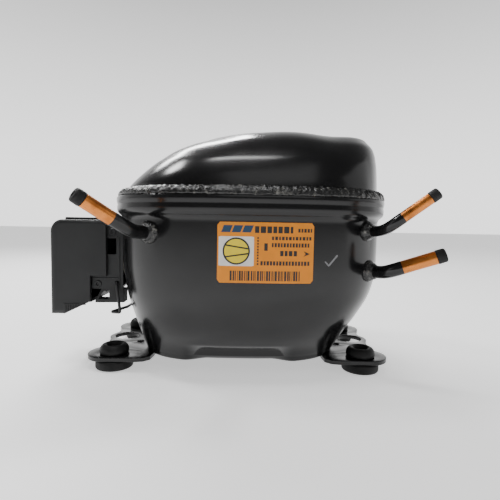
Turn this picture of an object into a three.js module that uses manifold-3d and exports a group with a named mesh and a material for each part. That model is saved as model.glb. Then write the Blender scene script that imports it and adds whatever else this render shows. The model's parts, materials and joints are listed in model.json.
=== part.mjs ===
// Hermetic reciprocating compressor with its motor, crank and piston inside a welded steel shell.
// Millimetres, +Z up, -Y the labelled front, -X the terminal side.
// Everything is placed about the centre of the four mounting holes, with z = 0 at the top of the
// base plates. The finished group is then moved so that the middle of its base is the origin.

import * as THREE from "three";
import { mergeVertices } from "three/addons/utils/BufferGeometryUtils.js";
import Module from "manifold-3d";

const wasm = await Module();
wasm.setup();

// ---------------------------------------------------------------- driving dimensions
const GAP = 0.3;
const MOUNT_X = 170;
const MOUNT_Y = 70;

const WALL = 3;
const SHELL_CORNER = 2.8;
const BODY_LENGTH = 181.6;
const BODY_MIDDLE_X = 7.4;
const BODY_HALF_DEPTH = 71;
const BODY_LEFT = BODY_MIDDLE_X - BODY_LENGTH / 2;
const BODY_RIGHT = BODY_MIDDLE_X + BODY_LENGTH / 2;
const SEAM_Z = 107;
const LIP_OUT = 3.8;
const LIP_HEIGHT = 10.5;
const LIP_BOTTOM = SEAM_Z - LIP_HEIGHT;
const DOME_HEIGHT = 48.7;
const DOME_TOP_IN = 72.6;

const PLATE_THICK = 3;
const EAR_RADIUS = 15;
const EAR_X = MOUNT_X / 2 + 3;
const EAR_Y = MOUNT_Y / 2 - 2;
const MID_EAR_RADIUS = 13;
const MID_EAR_X = MOUNT_X / 2 + 3.5;
const MID_EAR_Y = 6;
const MID_HOLE_RADIUS = 9;
const SMALL_HOLE_RADIUS = 2.6;
const SMALL_HOLE_X = MOUNT_X / 2 - 11;
const SMALL_HOLE_OUT = 15;
const PLATE_INNER_X = MOUNT_X / 2 - 33;
const PLATE_HALF_DEPTH = MOUNT_Y / 2 + 11;
const PLATE_CORNER = 8;

const GROMMET_BORE = 4.25;
const GROMMET_NECK = 7.8;
const GROMMET_RING = GROMMET_NECK + 1.9;
const GROMMET_FLANGE = GROMMET_NECK + 4.7;
const GROMMET_TOP = 6.4;
const GROMMET_BOTTOM = -9.5;
const GROMMET_POINTS = 14;

const LARGE_TUBE = 4;
const SMALL_TUBE = 3.25;
const TUBE_WALL = 0.9;
const TUBE_BEND = 9;
const TUBE_INSIDE = 7;
const COLLAR_WALL = 2.3;
const COLLAR_HEIGHT = 4;
const COLLAR_STAND = 0.9;
const PLUG_HEAD = 6.5;
const PLUG_STEM = 6;

const LABEL_LEFT = -12.4;
const LABEL_RIGHT = 44.5;
const LABEL_LOW = 55.2;
const LABEL_HIGH = 91;
const LABEL_STAND = 0.35;
const LABEL_THICK = 0.3;

// The terminal box: X values are measured out from the end of the body.
const BOX_HALF_DEPTH = 35;
const BOX_WALL = 2;
const BOX_TOP = 91;
const BOX_BOTTOM = 26.2;
const BOX_OUT = 45;
const BOX_CORNER = 8;
const RIDGE_HALF_DEPTH = 30;
const RIDGE_HEIGHT = 1.6;
const FENCE_HALF_DEPTH = BOX_HALF_DEPTH - 3;
const FENCE_WALL = 1.5;
const FENCE_OUT = 17.8;
const FENCE_LOW = 43.5;
const FENCE_HIGH = 87;
const BAIL_PIVOT_X = BODY_LEFT - 0.6;
const BAIL_PIVOT_Z = 48;
const BAIL_LOW = 27.5;
const BAIL_WIRE = 1;

const SHAFT_RADIUS = 8;
const SHAFT_LOW = 22;
const RUNNING_CLEARANCE = 0.1;
const HUB_WALL = 6;
const CRANK_THROW = 8;
const CRANK_PIN_RADIUS = 6;
const ROD_LENGTH = 36;
const ROD_THICK = 6;
const GUDGEON_RADIUS = 3;
const BORE_RADIUS = 12.05;
const PISTON_CLEARANCE = 0.05;
const PISTON_RADIUS = BORE_RADIUS - PISTON_CLEARANCE;
const CYLINDER_Z = SEAM_Z + 6;
const PUMP_CLEARANCE = 22;
const STATOR_HALF = BODY_HALF_DEPTH - WALL - PUMP_CLEARANCE;
const STATOR_LOW = 36;
const STATOR_HIGH = 72;
const STATOR_BORE = STATOR_HALF - 15;
const AIR_GAP = 0.6;
const SPRING_X = MOUNT_X / 2 - 47.5;
const SPRING_Y = STATOR_HALF - 8.5;
const SPRING_LOW = 8;
const SPRING_TURNS = 5;
const SPRING_RADIUS = 6.7;
const SPRING_WIRE = 1;

const ROUND = 16;
const FINE_ROUND = 24;
const SHELL_POINTS = 36;

// ---------------------------------------------------------------- materials
const LOOKS = {
  paint: { color: 0x0d0d0e, metalness: 0.1, roughness: 0.2 },
  weld: { color: 0x171717, metalness: 0.2, roughness: 0.4 },
  rubber: { color: 0x141414, metalness: 0, roughness: 0.8 },
  copper: { color: 0xb87348, metalness: 1, roughness: 0.3 },
  plastic: { color: 0x1d1f21, metalness: 0, roughness: 0.5 },
  label: { color: 0xe9702a, metalness: 0, roughness: 0.5 },
  steel: { color: 0x9a9ca0, metalness: 1, roughness: 0.35 },
  cast: { color: 0x56585a, metalness: 0.7, roughness: 0.6 },
  aluminium: { color: 0xb9bcc0, metalness: 1, roughness: 0.4 },
  winding: { color: 0x9c4a22, metalness: 0.6, roughness: 0.4 },
  ceramic: { color: 0xd8d2c0, metalness: 0, roughness: 0.5 },
};

// ---------------------------------------------------------------- geometry helpers
const vec = (x, y, z) => new THREE.Vector3(x, y, z);

// A closed body lofted through rings. A ring of one point is a pole.
function loft(rings, { loop = false, caps = false } = {}) {
  const points = [];
  const starts = [];
  for (const ring of rings) {
    starts.push(points.length);
    points.push(...ring);
  }
  const faces = [];
  const last = loop ? rings.length : rings.length - 1;
  for (let k = 0; k < last; k += 1) {
    const next = (k + 1) % rings.length;
    const count = Math.max(rings[k].length, rings[next].length);
    for (let i = 0; i < count; i += 1) {
      const j = (i + 1) % count;
      const [a, b] = rings[k].length === 1 ? [0, 0] : [i, j];
      const [c, d] = rings[next].length === 1 ? [0, 0] : [i, j];
      if (a !== b) {
        faces.push([starts[k] + a, starts[k] + b, starts[next] + c]);
      }
      if (c !== d) {
        faces.push([starts[k] + b, starts[next] + d, starts[next] + c]);
      }
    }
  }
  if (caps) {
    const end = starts[rings.length - 1];
    for (let i = 1; i < rings[0].length - 1; i += 1) {
      faces.push([0, i + 1, i]);
      faces.push([end, end + i, end + i + 1]);
    }
  }
  return meshed(points, faces);
}

function meshed(points, faces) {
  let volume = 0;
  for (const [a, b, c] of faces) {
    volume += points[a].dot(points[b].clone().cross(points[c]));
  }
  const index = faces.flatMap(([a, b, c]) => (volume > 0 ? [a, b, c] : [a, c, b]));
  const geometry = new THREE.BufferGeometry();
  const numbers = points.flatMap((p) => [p.x, p.y, p.z]);
  geometry.setAttribute("position", new THREE.Float32BufferAttribute(numbers, 3));
  geometry.setIndex(index);
  return geometry;
}

function toSolid(geometry) {
  const bare = geometry.clone();
  bare.deleteAttribute("normal");
  bare.deleteAttribute("uv");
  const merged = mergeVertices(bare, 1e-4);
  return new wasm.Manifold(new wasm.Mesh({
    numProp: 3,
    vertProperties: new Float32Array(merged.attributes.position.array),
    triVerts: new Uint32Array(merged.index.array),
  }));
}

function fromSolid(solid) {
  const mesh = solid.getMesh();
  const geometry = new THREE.BufferGeometry();
  const positions = new Float32Array(mesh.vertProperties);
  geometry.setAttribute("position", new THREE.BufferAttribute(positions, 3));
  geometry.setIndex(new THREE.BufferAttribute(new Uint32Array(mesh.triVerts), 1));
  return geometry;
}

function subtract(geometry, ...cutters) {
  return fromSolid(cutters.reduce((solid, cutter) => solid.subtract(toSolid(cutter)), toSolid(geometry)));
}

function unite(geometry, ...others) {
  return fromSolid(others.reduce((solid, other) => solid.add(toSolid(other)), toSolid(geometry)));
}

function block(x0, x1, y0, y1, z0, z1) {
  const geometry = new THREE.BoxGeometry(x1 - x0, y1 - y0, z1 - z0);
  return geometry.translate((x0 + x1) / 2, (y0 + y1) / 2, (z0 + z1) / 2);
}

// A solid of revolution about +Z through the origin; the profile is [radius, height] pairs.
function turned(profile, segments = ROUND) {
  const rings = profile.map(([radius, z]) => {
    if (radius === 0) {
      return [vec(0, 0, z)];
    }
    const ring = [];
    for (let i = 0; i < segments; i += 1) {
      const angle = (2 * Math.PI * (i + 0.5)) / segments;
      ring.push(vec(radius * Math.cos(angle), radius * Math.sin(angle), z));
    }
    return ring;
  });
  const solid = profile[0][0] === 0;
  return loft(rings, { loop: !solid });
}

const rod = (radius, z0, z1, segments = ROUND) => (
  turned([[0, z0], [radius, z0], [radius, z1], [0, z1]], segments)
);

const ringOf = (inner, outer, z0, z1, segments = ROUND) => (
  turned([[inner, z0], [outer, z0], [outer, z1], [inner, z1]], segments)
);

// Turn a body made along +Z so that it points along a direction from a place.
function aimed(geometry, from, direction) {
  const turn = new THREE.Quaternion().setFromUnitVectors(vec(0, 0, 1), direction.clone().normalize());
  return geometry.applyQuaternion(turn).translate(from.x, from.y, from.z);
}

// An outline in the XY plane pushed along +Z.
function slab(shape, z0, z1, curveSegments = 10) {
  const options = { depth: z1 - z0, bevelEnabled: false, curveSegments };
  return new THREE.ExtrudeGeometry(shape, options).translate(0, 0, z0);
}

// An outline drawn as X and Z pushed along Y.
function sideSlab(shape, y0, y1, curveSegments = 6) {
  const body = slab(shape, -y1, -y0, curveSegments);
  return body.rotateX(Math.PI / 2);
}

function roundedRect(x0, x1, y0, y1, radius) {
  const shape = new THREE.Shape();
  shape.moveTo(x0 + radius, y0);
  shape.lineTo(x1 - radius, y0);
  shape.absarc(x1 - radius, y0 + radius, radius, -Math.PI / 2, 0, false);
  shape.lineTo(x1, y1 - radius);
  shape.absarc(x1 - radius, y1 - radius, radius, 0, Math.PI / 2, false);
  shape.lineTo(x0 + radius, y1);
  shape.absarc(x0 + radius, y1 - radius, radius, Math.PI / 2, Math.PI, false);
  shape.lineTo(x0, y0 + radius);
  shape.absarc(x0 + radius, y0 + radius, radius, Math.PI, 1.5 * Math.PI, false);
  return shape;
}

// Centre line through corner points, each corner rounded by a short curve.
function bentLine(corners, bend, steps) {
  const line = [corners[0]];
  for (let k = 1; k < corners.length - 1; k += 1) {
    const here = corners[k];
    const back = corners[k - 1].clone().sub(here);
    const on = corners[k + 1].clone().sub(here);
    const reach = Math.min(bend, back.length() / 2.1, on.length() / 2.1);
    const before = here.clone().add(back.setLength(reach));
    const after = here.clone().add(on.setLength(reach));
    const curve = new THREE.QuadraticBezierCurve3(before, here, after);
    line.push(...curve.getPoints(steps));
  }
  line.push(corners[corners.length - 1]);
  return line;
}

// Rings of a round section carried along a centre line without twist.
function sectionRings(line, radius, sides) {
  const rings = [];
  let across = null;
  line.forEach((place, k) => {
    const before = line[Math.max(k - 1, 0)];
    const after = line[Math.min(k + 1, line.length - 1)];
    const ahead = after.clone().sub(before).normalize();
    const guide = across ?? (Math.abs(ahead.z) < 0.9 ? vec(0, 0, 1) : vec(1, 0, 0));
    across = guide.clone().sub(ahead.clone().multiplyScalar(guide.dot(ahead))).normalize();
    const third = ahead.clone().cross(across);
    const ring = [];
    for (let i = 0; i < sides; i += 1) {
      const angle = (2 * Math.PI * i) / sides;
      const offset = across.clone().multiplyScalar(radius * Math.cos(angle));
      offset.add(third.clone().multiplyScalar(radius * Math.sin(angle)));
      ring.push(place.clone().add(offset));
    }
    rings.push(ring);
  });
  return rings;
}

const wire = (line, radius, sides = 8) => loft(sectionRings(line, radius, sides), { caps: true });

function hollowTube(line, radius, inner, sides = 8) {
  const outside = sectionRings(line, radius, sides);
  const inside = sectionRings(line, inner, sides).reverse();
  return loft([...outside, ...inside], { loop: true });
}

// ---------------------------------------------------------------- shell outlines
// One level of the shell: height, left end, right end, half depth and corner squareness.
function level(z, left, right, half, corner = SHELL_CORNER, grow = 0) {
  const middle = (left + right) / 2;
  const a = (right - left) / 2 + grow;
  const b = half + grow;
  const ring = [];
  for (let i = 0; i < SHELL_POINTS; i += 1) {
    const angle = (2 * Math.PI * (i + 0.5)) / SHELL_POINTS;
    const c = Math.cos(angle);
    const s = Math.sin(angle);
    const x = middle + a * Math.sign(c) * Math.abs(c) ** (2 / corner);
    ring.push(vec(x, b * Math.sign(s) * Math.abs(s) ** (2 / corner), z));
  }
  return ring;
}

// Front face of the straight body wall at a given x, moved outward by a distance.
function wallY(x, outward = 0) {
  const middle = (BODY_LEFT + BODY_RIGHT) / 2;
  const u = Math.abs(x - middle) / ((BODY_RIGHT - BODY_LEFT) / 2);
  return -(BODY_HALF_DEPTH + outward) * (1 - u ** SHELL_CORNER) ** (1 / SHELL_CORNER);
}

// Outward direction of the body wall where it passes through x, y.
function wallNormal(x, y) {
  const middle = (BODY_LEFT + BODY_RIGHT) / 2;
  const a = (BODY_RIGHT - BODY_LEFT) / 2;
  const u = (x - middle) / a;
  const v = y / BODY_HALF_DEPTH;
  const power = SHELL_CORNER - 1;
  const along = (Math.sign(u) * Math.abs(u) ** power) / a;
  const across = (Math.sign(v) * Math.abs(v) ** power) / BODY_HALF_DEPTH;
  return vec(along, across, 0).normalize();
}

// The same levels moved inward by the wall thickness, along the slope of the profile.
function insetLevels(levels, side) {
  return levels.map(([z, left, right, half, corner], k) => {
    const low = levels[Math.max(k - 1, 0)];
    const high = levels[Math.min(k + 1, levels.length - 1)];
    const rise = Math.abs(high[0] - low[0]);
    const run = Math.abs(high[3] - low[3]);
    const slope = Math.hypot(rise, run);
    const flat = (WALL * rise) / slope;
    const down = (WALL * run) / slope;
    return [z + side * down, left + flat, right - flat, half - flat, corner];
  });
}

const rings = (levels) => levels.map((values) => level(...values));

// ---------------------------------------------------------------- lower shell
// Up to the feet the two ends are measured in from the mounting holes, so that the floor clears the
// rubber, and above them from the ends of the body. The depth is always measured in from the body.
const FLOOR_ROWS = [
  [-2.2, 51, 49, 51, 2.3],
  [-1.8, 28, 29, 34, 2.4],
  [0, 19, 18, 20, 3],
  [4, 16.5, 14.5, 18, 2.9],
  [10, 14, 10.5, 14.5, 2.75],
];
const WALL_ROWS = [
  [20, 9.4, 17.9, 7, 2.7],
  [30, 6.6, 11.7, 3, 2.75],
  [44, 2.9, 4.2, 0.4, SHELL_CORNER],
  [62, 0.4, 0.2, 0, SHELL_CORNER],
  [LIP_BOTTOM - 4.5, 0, 0, 0, SHELL_CORNER],
];
const FLOOR_AT_PLATE = 2;
const BOTTOM_POLE = -2.3;
const FLOOR_MIDDLE_X = 1;
const LIP_ROUND = 0.8;
const LIP_ROUND_HEIGHT = 1.2;

const measuredFrom = (left, right) => ([z, leftIn, rightIn, depthIn, corner]) => (
  [z, left + leftIn, right - rightIn, BODY_HALF_DEPTH - depthIn, corner]
);
const LOWER_LEVELS = [
  ...FLOOR_ROWS.map(measuredFrom(-MOUNT_X / 2, MOUNT_X / 2)),
  ...WALL_ROWS.map(measuredFrom(BODY_LEFT, BODY_RIGHT)),
];

function lowerShell() {
  const inside = insetLevels(LOWER_LEVELS, 1).reverse();
  const lip = (z, grow) => level(z, BODY_LEFT, BODY_RIGHT, BODY_HALF_DEPTH, SHELL_CORNER, grow);
  return loft([
    [vec(FLOOR_MIDDLE_X, 0, BOTTOM_POLE)],
    ...rings(LOWER_LEVELS),
    lip(LIP_BOTTOM - LIP_ROUND_HEIGHT, LIP_OUT - LIP_ROUND),
    lip(LIP_BOTTOM, LIP_OUT),
    lip(SEAM_Z, LIP_OUT),
    lip(SEAM_Z, LIP_OUT - WALL),
    lip(LIP_BOTTOM, LIP_OUT - WALL),
    ...rings(inside),
    [vec(FLOOR_MIDDLE_X, 0, BOTTOM_POLE + WALL)],
  ]);
}

// ---------------------------------------------------------------- upper shell
// Heights are above the seam. The dome leans: its left slope is long and its right end is steep.
const UPPER_ROWS = [
  [-9, 0.2, 1, 0.1, SHELL_CORNER],
  [5.3, 3.9, 1.2, 1.2, SHELL_CORNER],
  [12.3, 9.8, 1.3, 3, SHELL_CORNER],
  [21.1, 19.5, 1.4, 7.5, SHELL_CORNER],
  [26.4, 26.6, 1.6, 11.5, SHELL_CORNER],
  [31.6, 34.1, 2, 16.5, SHELL_CORNER],
  [36.5, 44, 3.2, 22.5, SHELL_CORNER],
  [40.6, 53.5, 5.6, 30, SHELL_CORNER],
  [44.1, 60.2, 7.5, 38.5, SHELL_CORNER],
  [46.4, 65.5, 11.5, 47, 2.6],
  [47.7, 71.5, 20, 56, 2.4],
  [48.4, 83, 38, 63, 2.2],
];
const UPPER_LEVELS = UPPER_ROWS.map(measuredFrom(BODY_LEFT, BODY_RIGHT));
UPPER_LEVELS.forEach((row) => {
  row[0] += SEAM_Z;
});

function upperShell() {
  const outside = rings(UPPER_LEVELS).reverse();
  const top = vec(BODY_RIGHT - DOME_TOP_IN, 0, SEAM_Z + DOME_HEIGHT);
  return loft([
    [top],
    ...outside,
    ...rings(insetLevels(UPPER_LEVELS, -1)),
    [top.clone().setZ(top.z - WALL)],
  ]);
}

// ---------------------------------------------------------------- weld bead in the corner of the lip
// Pairs of how far the bead stands out from the dome and its height above the seam.
const SEAM_SECTION = [[0.5, 0.4], [3.2, 0.4], [3.4, 1.6], [2.7, 3.6], [1.7, 5.2], [0.5, 5.8]];

function weldSeam() {
  const [, left, right, half, corner] = UPPER_LEVELS[0];
  const section = SEAM_SECTION.map(([grow, rise]) => level(SEAM_Z + rise, left, right, half, corner, grow));
  return loft(section, { loop: true });
}

// ---------------------------------------------------------------- base plates
function basePlate(side) {
  const upright = (radius, x, y, low, high, points) => (
    rod(radius, low, high, points).translate(side * x, y, 0)
  );
  const ear = (radius, x, y) => upright(radius, x, y, -PLATE_THICK, 0);
  const hole = (radius, x, y, points) => upright(radius, x, y, -PLATE_THICK - 2, 2, points);
  const ends = [-1, 1];
  const pads = ends.map((end) => ear(EAR_RADIUS, EAR_X, end * EAR_Y));
  pads.push(ear(MID_EAR_RADIUS, MID_EAR_X, MID_EAR_Y));
  const flat = roundedRect(PLATE_INNER_X, EAR_X + 4, -PLATE_HALF_DEPTH, PLATE_HALF_DEPTH, PLATE_CORNER);
  const web = slab(flat, -PLATE_THICK, 0, 4);
  if (side < 0) {
    web.rotateZ(Math.PI);
  }
  const holes = ends.flatMap((end) => [
    hole(GROMMET_NECK + GAP, MOUNT_X / 2, (end * MOUNT_Y) / 2, GROMMET_POINTS),
    hole(SMALL_HOLE_RADIUS, SMALL_HOLE_X, MID_EAR_Y + end * SMALL_HOLE_OUT, 10),
  ]);
  holes.push(hole(MID_HOLE_RADIUS, MID_EAR_X, MID_EAR_Y, ROUND));
  const [, left, right, half, corner] = LOWER_LEVELS[FLOOR_AT_PLATE];
  const clear = GAP + 0.1;
  const low = level(-2 * PLATE_THICK, left, right, half, corner, clear);
  const high = level(PLATE_THICK, left, right, half, corner, clear);
  return subtract(unite(web, ...pads), ...holes, loft([low, high], { caps: true }));
}

// ---------------------------------------------------------------- rubber grommets
function grommet(x, y) {
  const profile = [
    [GROMMET_BORE, GROMMET_BOTTOM],
    [GROMMET_FLANGE - 0.9, GROMMET_BOTTOM],
    [GROMMET_FLANGE, GROMMET_BOTTOM + 0.9],
    [GROMMET_FLANGE, -4.2],
    [GROMMET_FLANGE - 0.9, -PLATE_THICK - GAP],
    [GROMMET_NECK, -PLATE_THICK - GAP],
    [GROMMET_NECK, GAP],
    [GROMMET_RING - 0.6, GAP],
    [GROMMET_RING, 1.2],
    [GROMMET_RING, 3.2],
    [GROMMET_RING - 1, GROMMET_TOP - 1.2],
    [GROMMET_RING - 2.8, GROMMET_TOP],
    [GROMMET_BORE + 0.9, GROMMET_TOP - 0.3],
    [GROMMET_BORE, GROMMET_TOP - 1.3],
  ];
  return turned(profile, GROMMET_POINTS).translate(x, y, 0);
}

// ---------------------------------------------------------------- tube stubs
// Each leaves the wall at right angles, bends and ends in a plug. Heights of the exits are below the
// seam, and the bend and the end are measured from where the tube leaves the wall.
const TUBES = {
  process: {
    x: BODY_LEFT + 28.4,
    below: 23.1,
    radius: LARGE_TUBE,
    straight: 19,
    toBend: [-11.9, -27, 6.9],
    toEnd: [-23.5, -37, 16.3],
  },
  discharge: {
    x: BODY_RIGHT - 17.4,
    below: 20.4,
    radius: SMALL_TUBE,
    straight: 13,
    toBend: [12.2, -22.5, 7.5],
    toEnd: [26.1, -26.5, 18.8],
  },
  suction: {
    x: BODY_RIGHT - 13.8,
    below: 46.1,
    radius: LARGE_TUBE,
    straight: 9,
    toBend: [11.6, -19.7, 4.2],
    toEnd: [29.3, -25.7, 11.2],
  },
};

for (const tube of Object.values(TUBES)) {
  tube.exit = vec(tube.x, wallY(tube.x), SEAM_Z - tube.below);
  tube.out = wallNormal(tube.exit.x, tube.exit.y);
  tube.bend = tube.exit.clone().add(vec(...tube.toBend));
  tube.end = tube.exit.clone().add(vec(...tube.toEnd));
  tube.start = tube.exit.clone().addScaledVector(tube.out, -TUBE_INSIDE);
  tube.knee = tube.exit.clone().addScaledVector(tube.out, tube.straight);
  tube.ahead = tube.end.clone().sub(tube.bend).normalize();
}

function tubeStub(tube) {
  const line = bentLine([tube.start, tube.knee, tube.bend, tube.end], TUBE_BEND, 4);
  return hollowTube(line, tube.radius, tube.radius - TUBE_WALL);
}

function tubeCollar(tube) {
  const inner = tube.radius + GAP;
  const outer = inner + COLLAR_WALL;
  const high = COLLAR_HEIGHT;
  const profile = [[inner, 0], [outer, 0], [outer, 0.4 * high], [inner + 1, high], [inner, high]];
  return aimed(turned(profile), tube.exit.clone().addScaledVector(tube.out, COLLAR_STAND), tube.out);
}

function tubePlug(tube) {
  const stem = tube.radius - TUBE_WALL - GAP;
  const head = tube.radius + GAP;
  const profile = [
    [0, -PLUG_STEM],
    [stem - 0.5, -PLUG_STEM],
    [stem, -PLUG_STEM + 1],
    [stem, GAP],
    [head, GAP],
    [head, PLUG_HEAD - 1],
    [head - 1, PLUG_HEAD],
    [0, PLUG_HEAD],
  ];
  return aimed(turned(profile, 12), tube.end, tube.ahead);
}

const tubeHole = (tube) => aimed(rod(tube.radius + GAP, -8, 8), tube.exit, tube.out);

// ---------------------------------------------------------------- rating label
function nameplate() {
  const columns = 10;
  const sections = [];
  for (let i = 0; i <= columns; i += 1) {
    const x = LABEL_LEFT + ((LABEL_RIGHT - LABEL_LEFT) * i) / columns;
    const near = wallY(x, LABEL_STAND);
    const far = wallY(x, LABEL_STAND + LABEL_THICK);
    sections.push([
      vec(x, near, LABEL_LOW),
      vec(x, far, LABEL_LOW),
      vec(x, far, LABEL_HIGH),
      vec(x, near, LABEL_HIGH),
    ]);
  }
  return loft(sections, { caps: true });
}

// ---------------------------------------------------------------- terminal box
// The body wall plus a gap, used to trim what stands against it.
function wallCutter() {
  const ring = (z) => level(z, BODY_LEFT, BODY_RIGHT, BODY_HALF_DEPTH, SHELL_CORNER, GAP);
  return loft([ring(BOX_BOTTOM - 2), ring(BOX_TOP + 3)], { caps: true });
}

// X at a distance out from the end of the body.
const outBy = (distance) => BODY_LEFT - distance;

function terminalFence() {
  const half = FENCE_HALF_DEPTH;
  const inside = half - FENCE_WALL;
  const outer = block(outBy(FENCE_OUT), outBy(-8), -half, half, FENCE_LOW, FENCE_HIGH);
  const way = [FENCE_LOW + FENCE_WALL, FENCE_HIGH - FENCE_WALL];
  const inner = block(outBy(FENCE_OUT + 1), outBy(-9), -inside, inside, ...way);
  const window = block(outBy(7.2), outBy(1), -half - 1, -half + 3, 67.5, 78.5);
  const reach = half + 8;
  const pivot = rod(BAIL_WIRE + 0.4, -reach, reach).rotateX(Math.PI / 2);
  return subtract(outer, inner, window, pivot.translate(BAIL_PIVOT_X, 0, BAIL_PIVOT_Z), wallCutter());
}

// The cover seen from the front: a sloping floor, two steps towards the body and a round top corner.
function coverOutline(inset) {
  const roundX = outBy(BOX_OUT - BOX_CORNER);
  const shape = new THREE.Shape();
  shape.moveTo(outBy(BOX_OUT) + inset, BOX_BOTTOM + inset);
  shape.lineTo(outBy(36.1), BOX_BOTTOM + inset);
  shape.lineTo(outBy(19.1), BOX_BOTTOM + 8.4 + inset);
  if (inset === 0) {
    shape.lineTo(outBy(17.9), BOX_BOTTOM + 8.4);
    shape.lineTo(outBy(17.9), 52.7);
    shape.lineTo(outBy(6.9), 52.7);
    shape.lineTo(outBy(6.9), BOX_TOP - 4);
    shape.lineTo(outBy(10.9), BOX_TOP);
  } else {
    shape.lineTo(outBy(-13), BOX_BOTTOM + 8.4 + inset);
    shape.lineTo(outBy(-13), BOX_TOP - inset);
  }
  shape.lineTo(roundX, BOX_TOP - inset);
  shape.absarc(roundX, BOX_TOP - BOX_CORNER, BOX_CORNER - inset, Math.PI / 2, Math.PI, false);
  return shape;
}

function terminalCover() {
  const half = BOX_HALF_DEPTH;
  const outside = sideSlab(coverOutline(0), -half, half);
  const inside = sideSlab(coverOutline(BOX_WALL), -half + BOX_WALL, half - BOX_WALL);
  const ridgeY = [-RIDGE_HALF_DEPTH, RIDGE_HALF_DEPTH];
  const ridge = block(outBy(36.6), outBy(11.3), ...ridgeY, BOX_TOP - 1, BOX_TOP + RIDGE_HEIGHT);
  return subtract(unite(outside, ridge), inside);
}

// The strap that holds the supply cord: a three-cornered loop with a solid end against the fence.
function cordClamp() {
  const top = FENCE_LOW - 0.4;
  const shape = new THREE.Shape();
  shape.moveTo(outBy(17.4), top - 10.1);
  shape.lineTo(outBy(-3), top - 9.7);
  shape.lineTo(outBy(-3), top);
  shape.lineTo(outBy(13.1), top);
  shape.lineTo(outBy(17.4), top - 8.5);
  const way = new THREE.Path();
  way.moveTo(outBy(15.1), top - 7.3);
  way.lineTo(outBy(11.8), top - 2.1);
  way.lineTo(outBy(7.6), top - 1.2);
  way.lineTo(outBy(7.6), top - 7.3);
  shape.holes.push(way);
  return sideSlab(shape, -28, -20);
}

// The wire bail: two legs on pivots in the fence, joined below by a bar bent out into two finger grips.
function bailClip() {
  const reach = FENCE_HALF_DEPTH + 1.6;
  const inside = FENCE_HALF_DEPTH - 3.5;
  const half = [
    [0, inside, BAIL_PIVOT_Z],
    [0, reach, BAIL_PIVOT_Z],
    [2.6, reach, BAIL_LOW],
    [-4.6, reach - 3.6, BAIL_LOW - 0.4],
    [1.4, 12, BAIL_LOW - 0.4],
  ];
  const corner = (end) => ([x, y, z]) => vec(BAIL_PIVOT_X + x, end * y, z);
  const line = bentLine([...half.map(corner(1)), ...half.map(corner(-1)).reverse()], 1.6, 3);
  return wire(line, BAIL_WIRE, 6);
}

const TERMINAL_Z = 62;
const HEADER_RADIUS = 16;
const HEADER_PROFILE = [[0, 0], [HEADER_RADIUS, 0], [HEADER_RADIUS, 1.4], [HEADER_RADIUS - 3, 2.8], [0, 2.8]];
const OVERLOAD_PROFILE = [[0, 0], [10, 0], [11, 1], [11, 10], [8, 12], [0, 12]];
const SCREW_PROFILE = [[0, 0], [2.6, 0], [2.6, 1.8], [1.6, 2.6], [0, 2.6]];
const PIN_PLACES = [[0, 6], [-5.2, -3], [5.2, -3]];

function alongX(geometry, out, y, z) {
  return geometry.rotateY(-Math.PI / 2).translate(outBy(out), y, z);
}

const terminalHeader = () => alongX(turned(HEADER_PROFILE, 28), 0.4, 0, TERMINAL_Z);
const terminalPin = ([y, z]) => alongX(rod(1.5, 0, 7, 12), 3.5, y, TERMINAL_Z + z);
const starterRelay = () => slab(roundedRect(outBy(23.6), outBy(10.8), -26, -1, 2), 49, 78, 3);
const overloadProtector = () => alongX(turned(OVERLOAD_PROFILE, 28), 10.8, 13, TERMINAL_Z);
const earthScrew = () => turned(SCREW_PROFILE).translate(outBy(10.6), -4, FENCE_LOW + 1.8);

// ---------------------------------------------------------------- pump: crankcase and cylinder
const BLOCK_START = 22;
const BLOCK_END = 58;
const BLOCK_HALF = 22;
const VALVE_THICK = 3;
const GASKET_THICK = 1;
const HEAD_START = BLOCK_END + 3 * GAP + VALVE_THICK + GASKET_THICK;
const HEAD_END = HEAD_START + 15;
const HEAD_WALL = 3;
const BOLT_RADIUS = 2;
const BOLT_HEAD = 4;
const BOLT_LOW = CYLINDER_Z - 13;
const BOLT_HIGH = CYLINDER_Z + 13;
const HEAD_BOLTS = [[-17, BOLT_LOW], [17, BOLT_LOW], [-17, BOLT_HIGH], [17, BOLT_HIGH]];
const DECK_LOW = CYLINDER_Z - 27;
const DECK_HIGH = CYLINDER_Z - 18;
const HEAD_LOW = DECK_HIGH;
const HEAD_HIGH = CYLINDER_Z + 18;
const LEG_PLACE = STATOR_HALF - 8;

const cylinderWay = (radius, x0, x1, segments = FINE_ROUND) => (
  rod(radius, x0, x1, segments).rotateY(Math.PI / 2).translate(0, 0, CYLINDER_Z)
);

const boltWay = (x0, x1, [y, z]) => (
  rod(BOLT_RADIUS + GAP, x0, x1, 8).rotateY(Math.PI / 2).translate(0, y, z)
);

function crankcase() {
  const half = STATOR_HALF;
  const deck = slab(roundedRect(-half, half + 8, -half, half, 10), DECK_LOW, DECK_HIGH);
  const hub = rod(SHAFT_RADIUS + HUB_WALL, DECK_LOW - 10, DECK_HIGH + 8);
  const blockZ = [DECK_HIGH - 1, CYLINDER_Z + 17];
  const cylinder = block(BLOCK_START, BLOCK_END, -BLOCK_HALF, BLOCK_HALF, ...blockZ);
  const legs = [];
  for (const x of [-LEG_PLACE, LEG_PLACE]) {
    for (const y of [-LEG_PLACE, LEG_PLACE]) {
      legs.push(rod(6, STATOR_HIGH + GAP, DECK_LOW + 1, 10).translate(x, y, 0));
    }
  }
  const shaftWay = rod(SHAFT_RADIUS + RUNNING_CLEARANCE, DECK_LOW - 16, DECK_HIGH + 15, FINE_ROUND);
  const boltWays = HEAD_BOLTS.map((place) => boltWay(BLOCK_END - 14, BLOCK_END + 1, place));
  const bore = cylinderWay(BORE_RADIUS, BLOCK_START - 2, BLOCK_END + 2);
  return subtract(unite(deck, hub, cylinder, ...legs), shaftWay, bore, ...boltWays);
}

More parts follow.
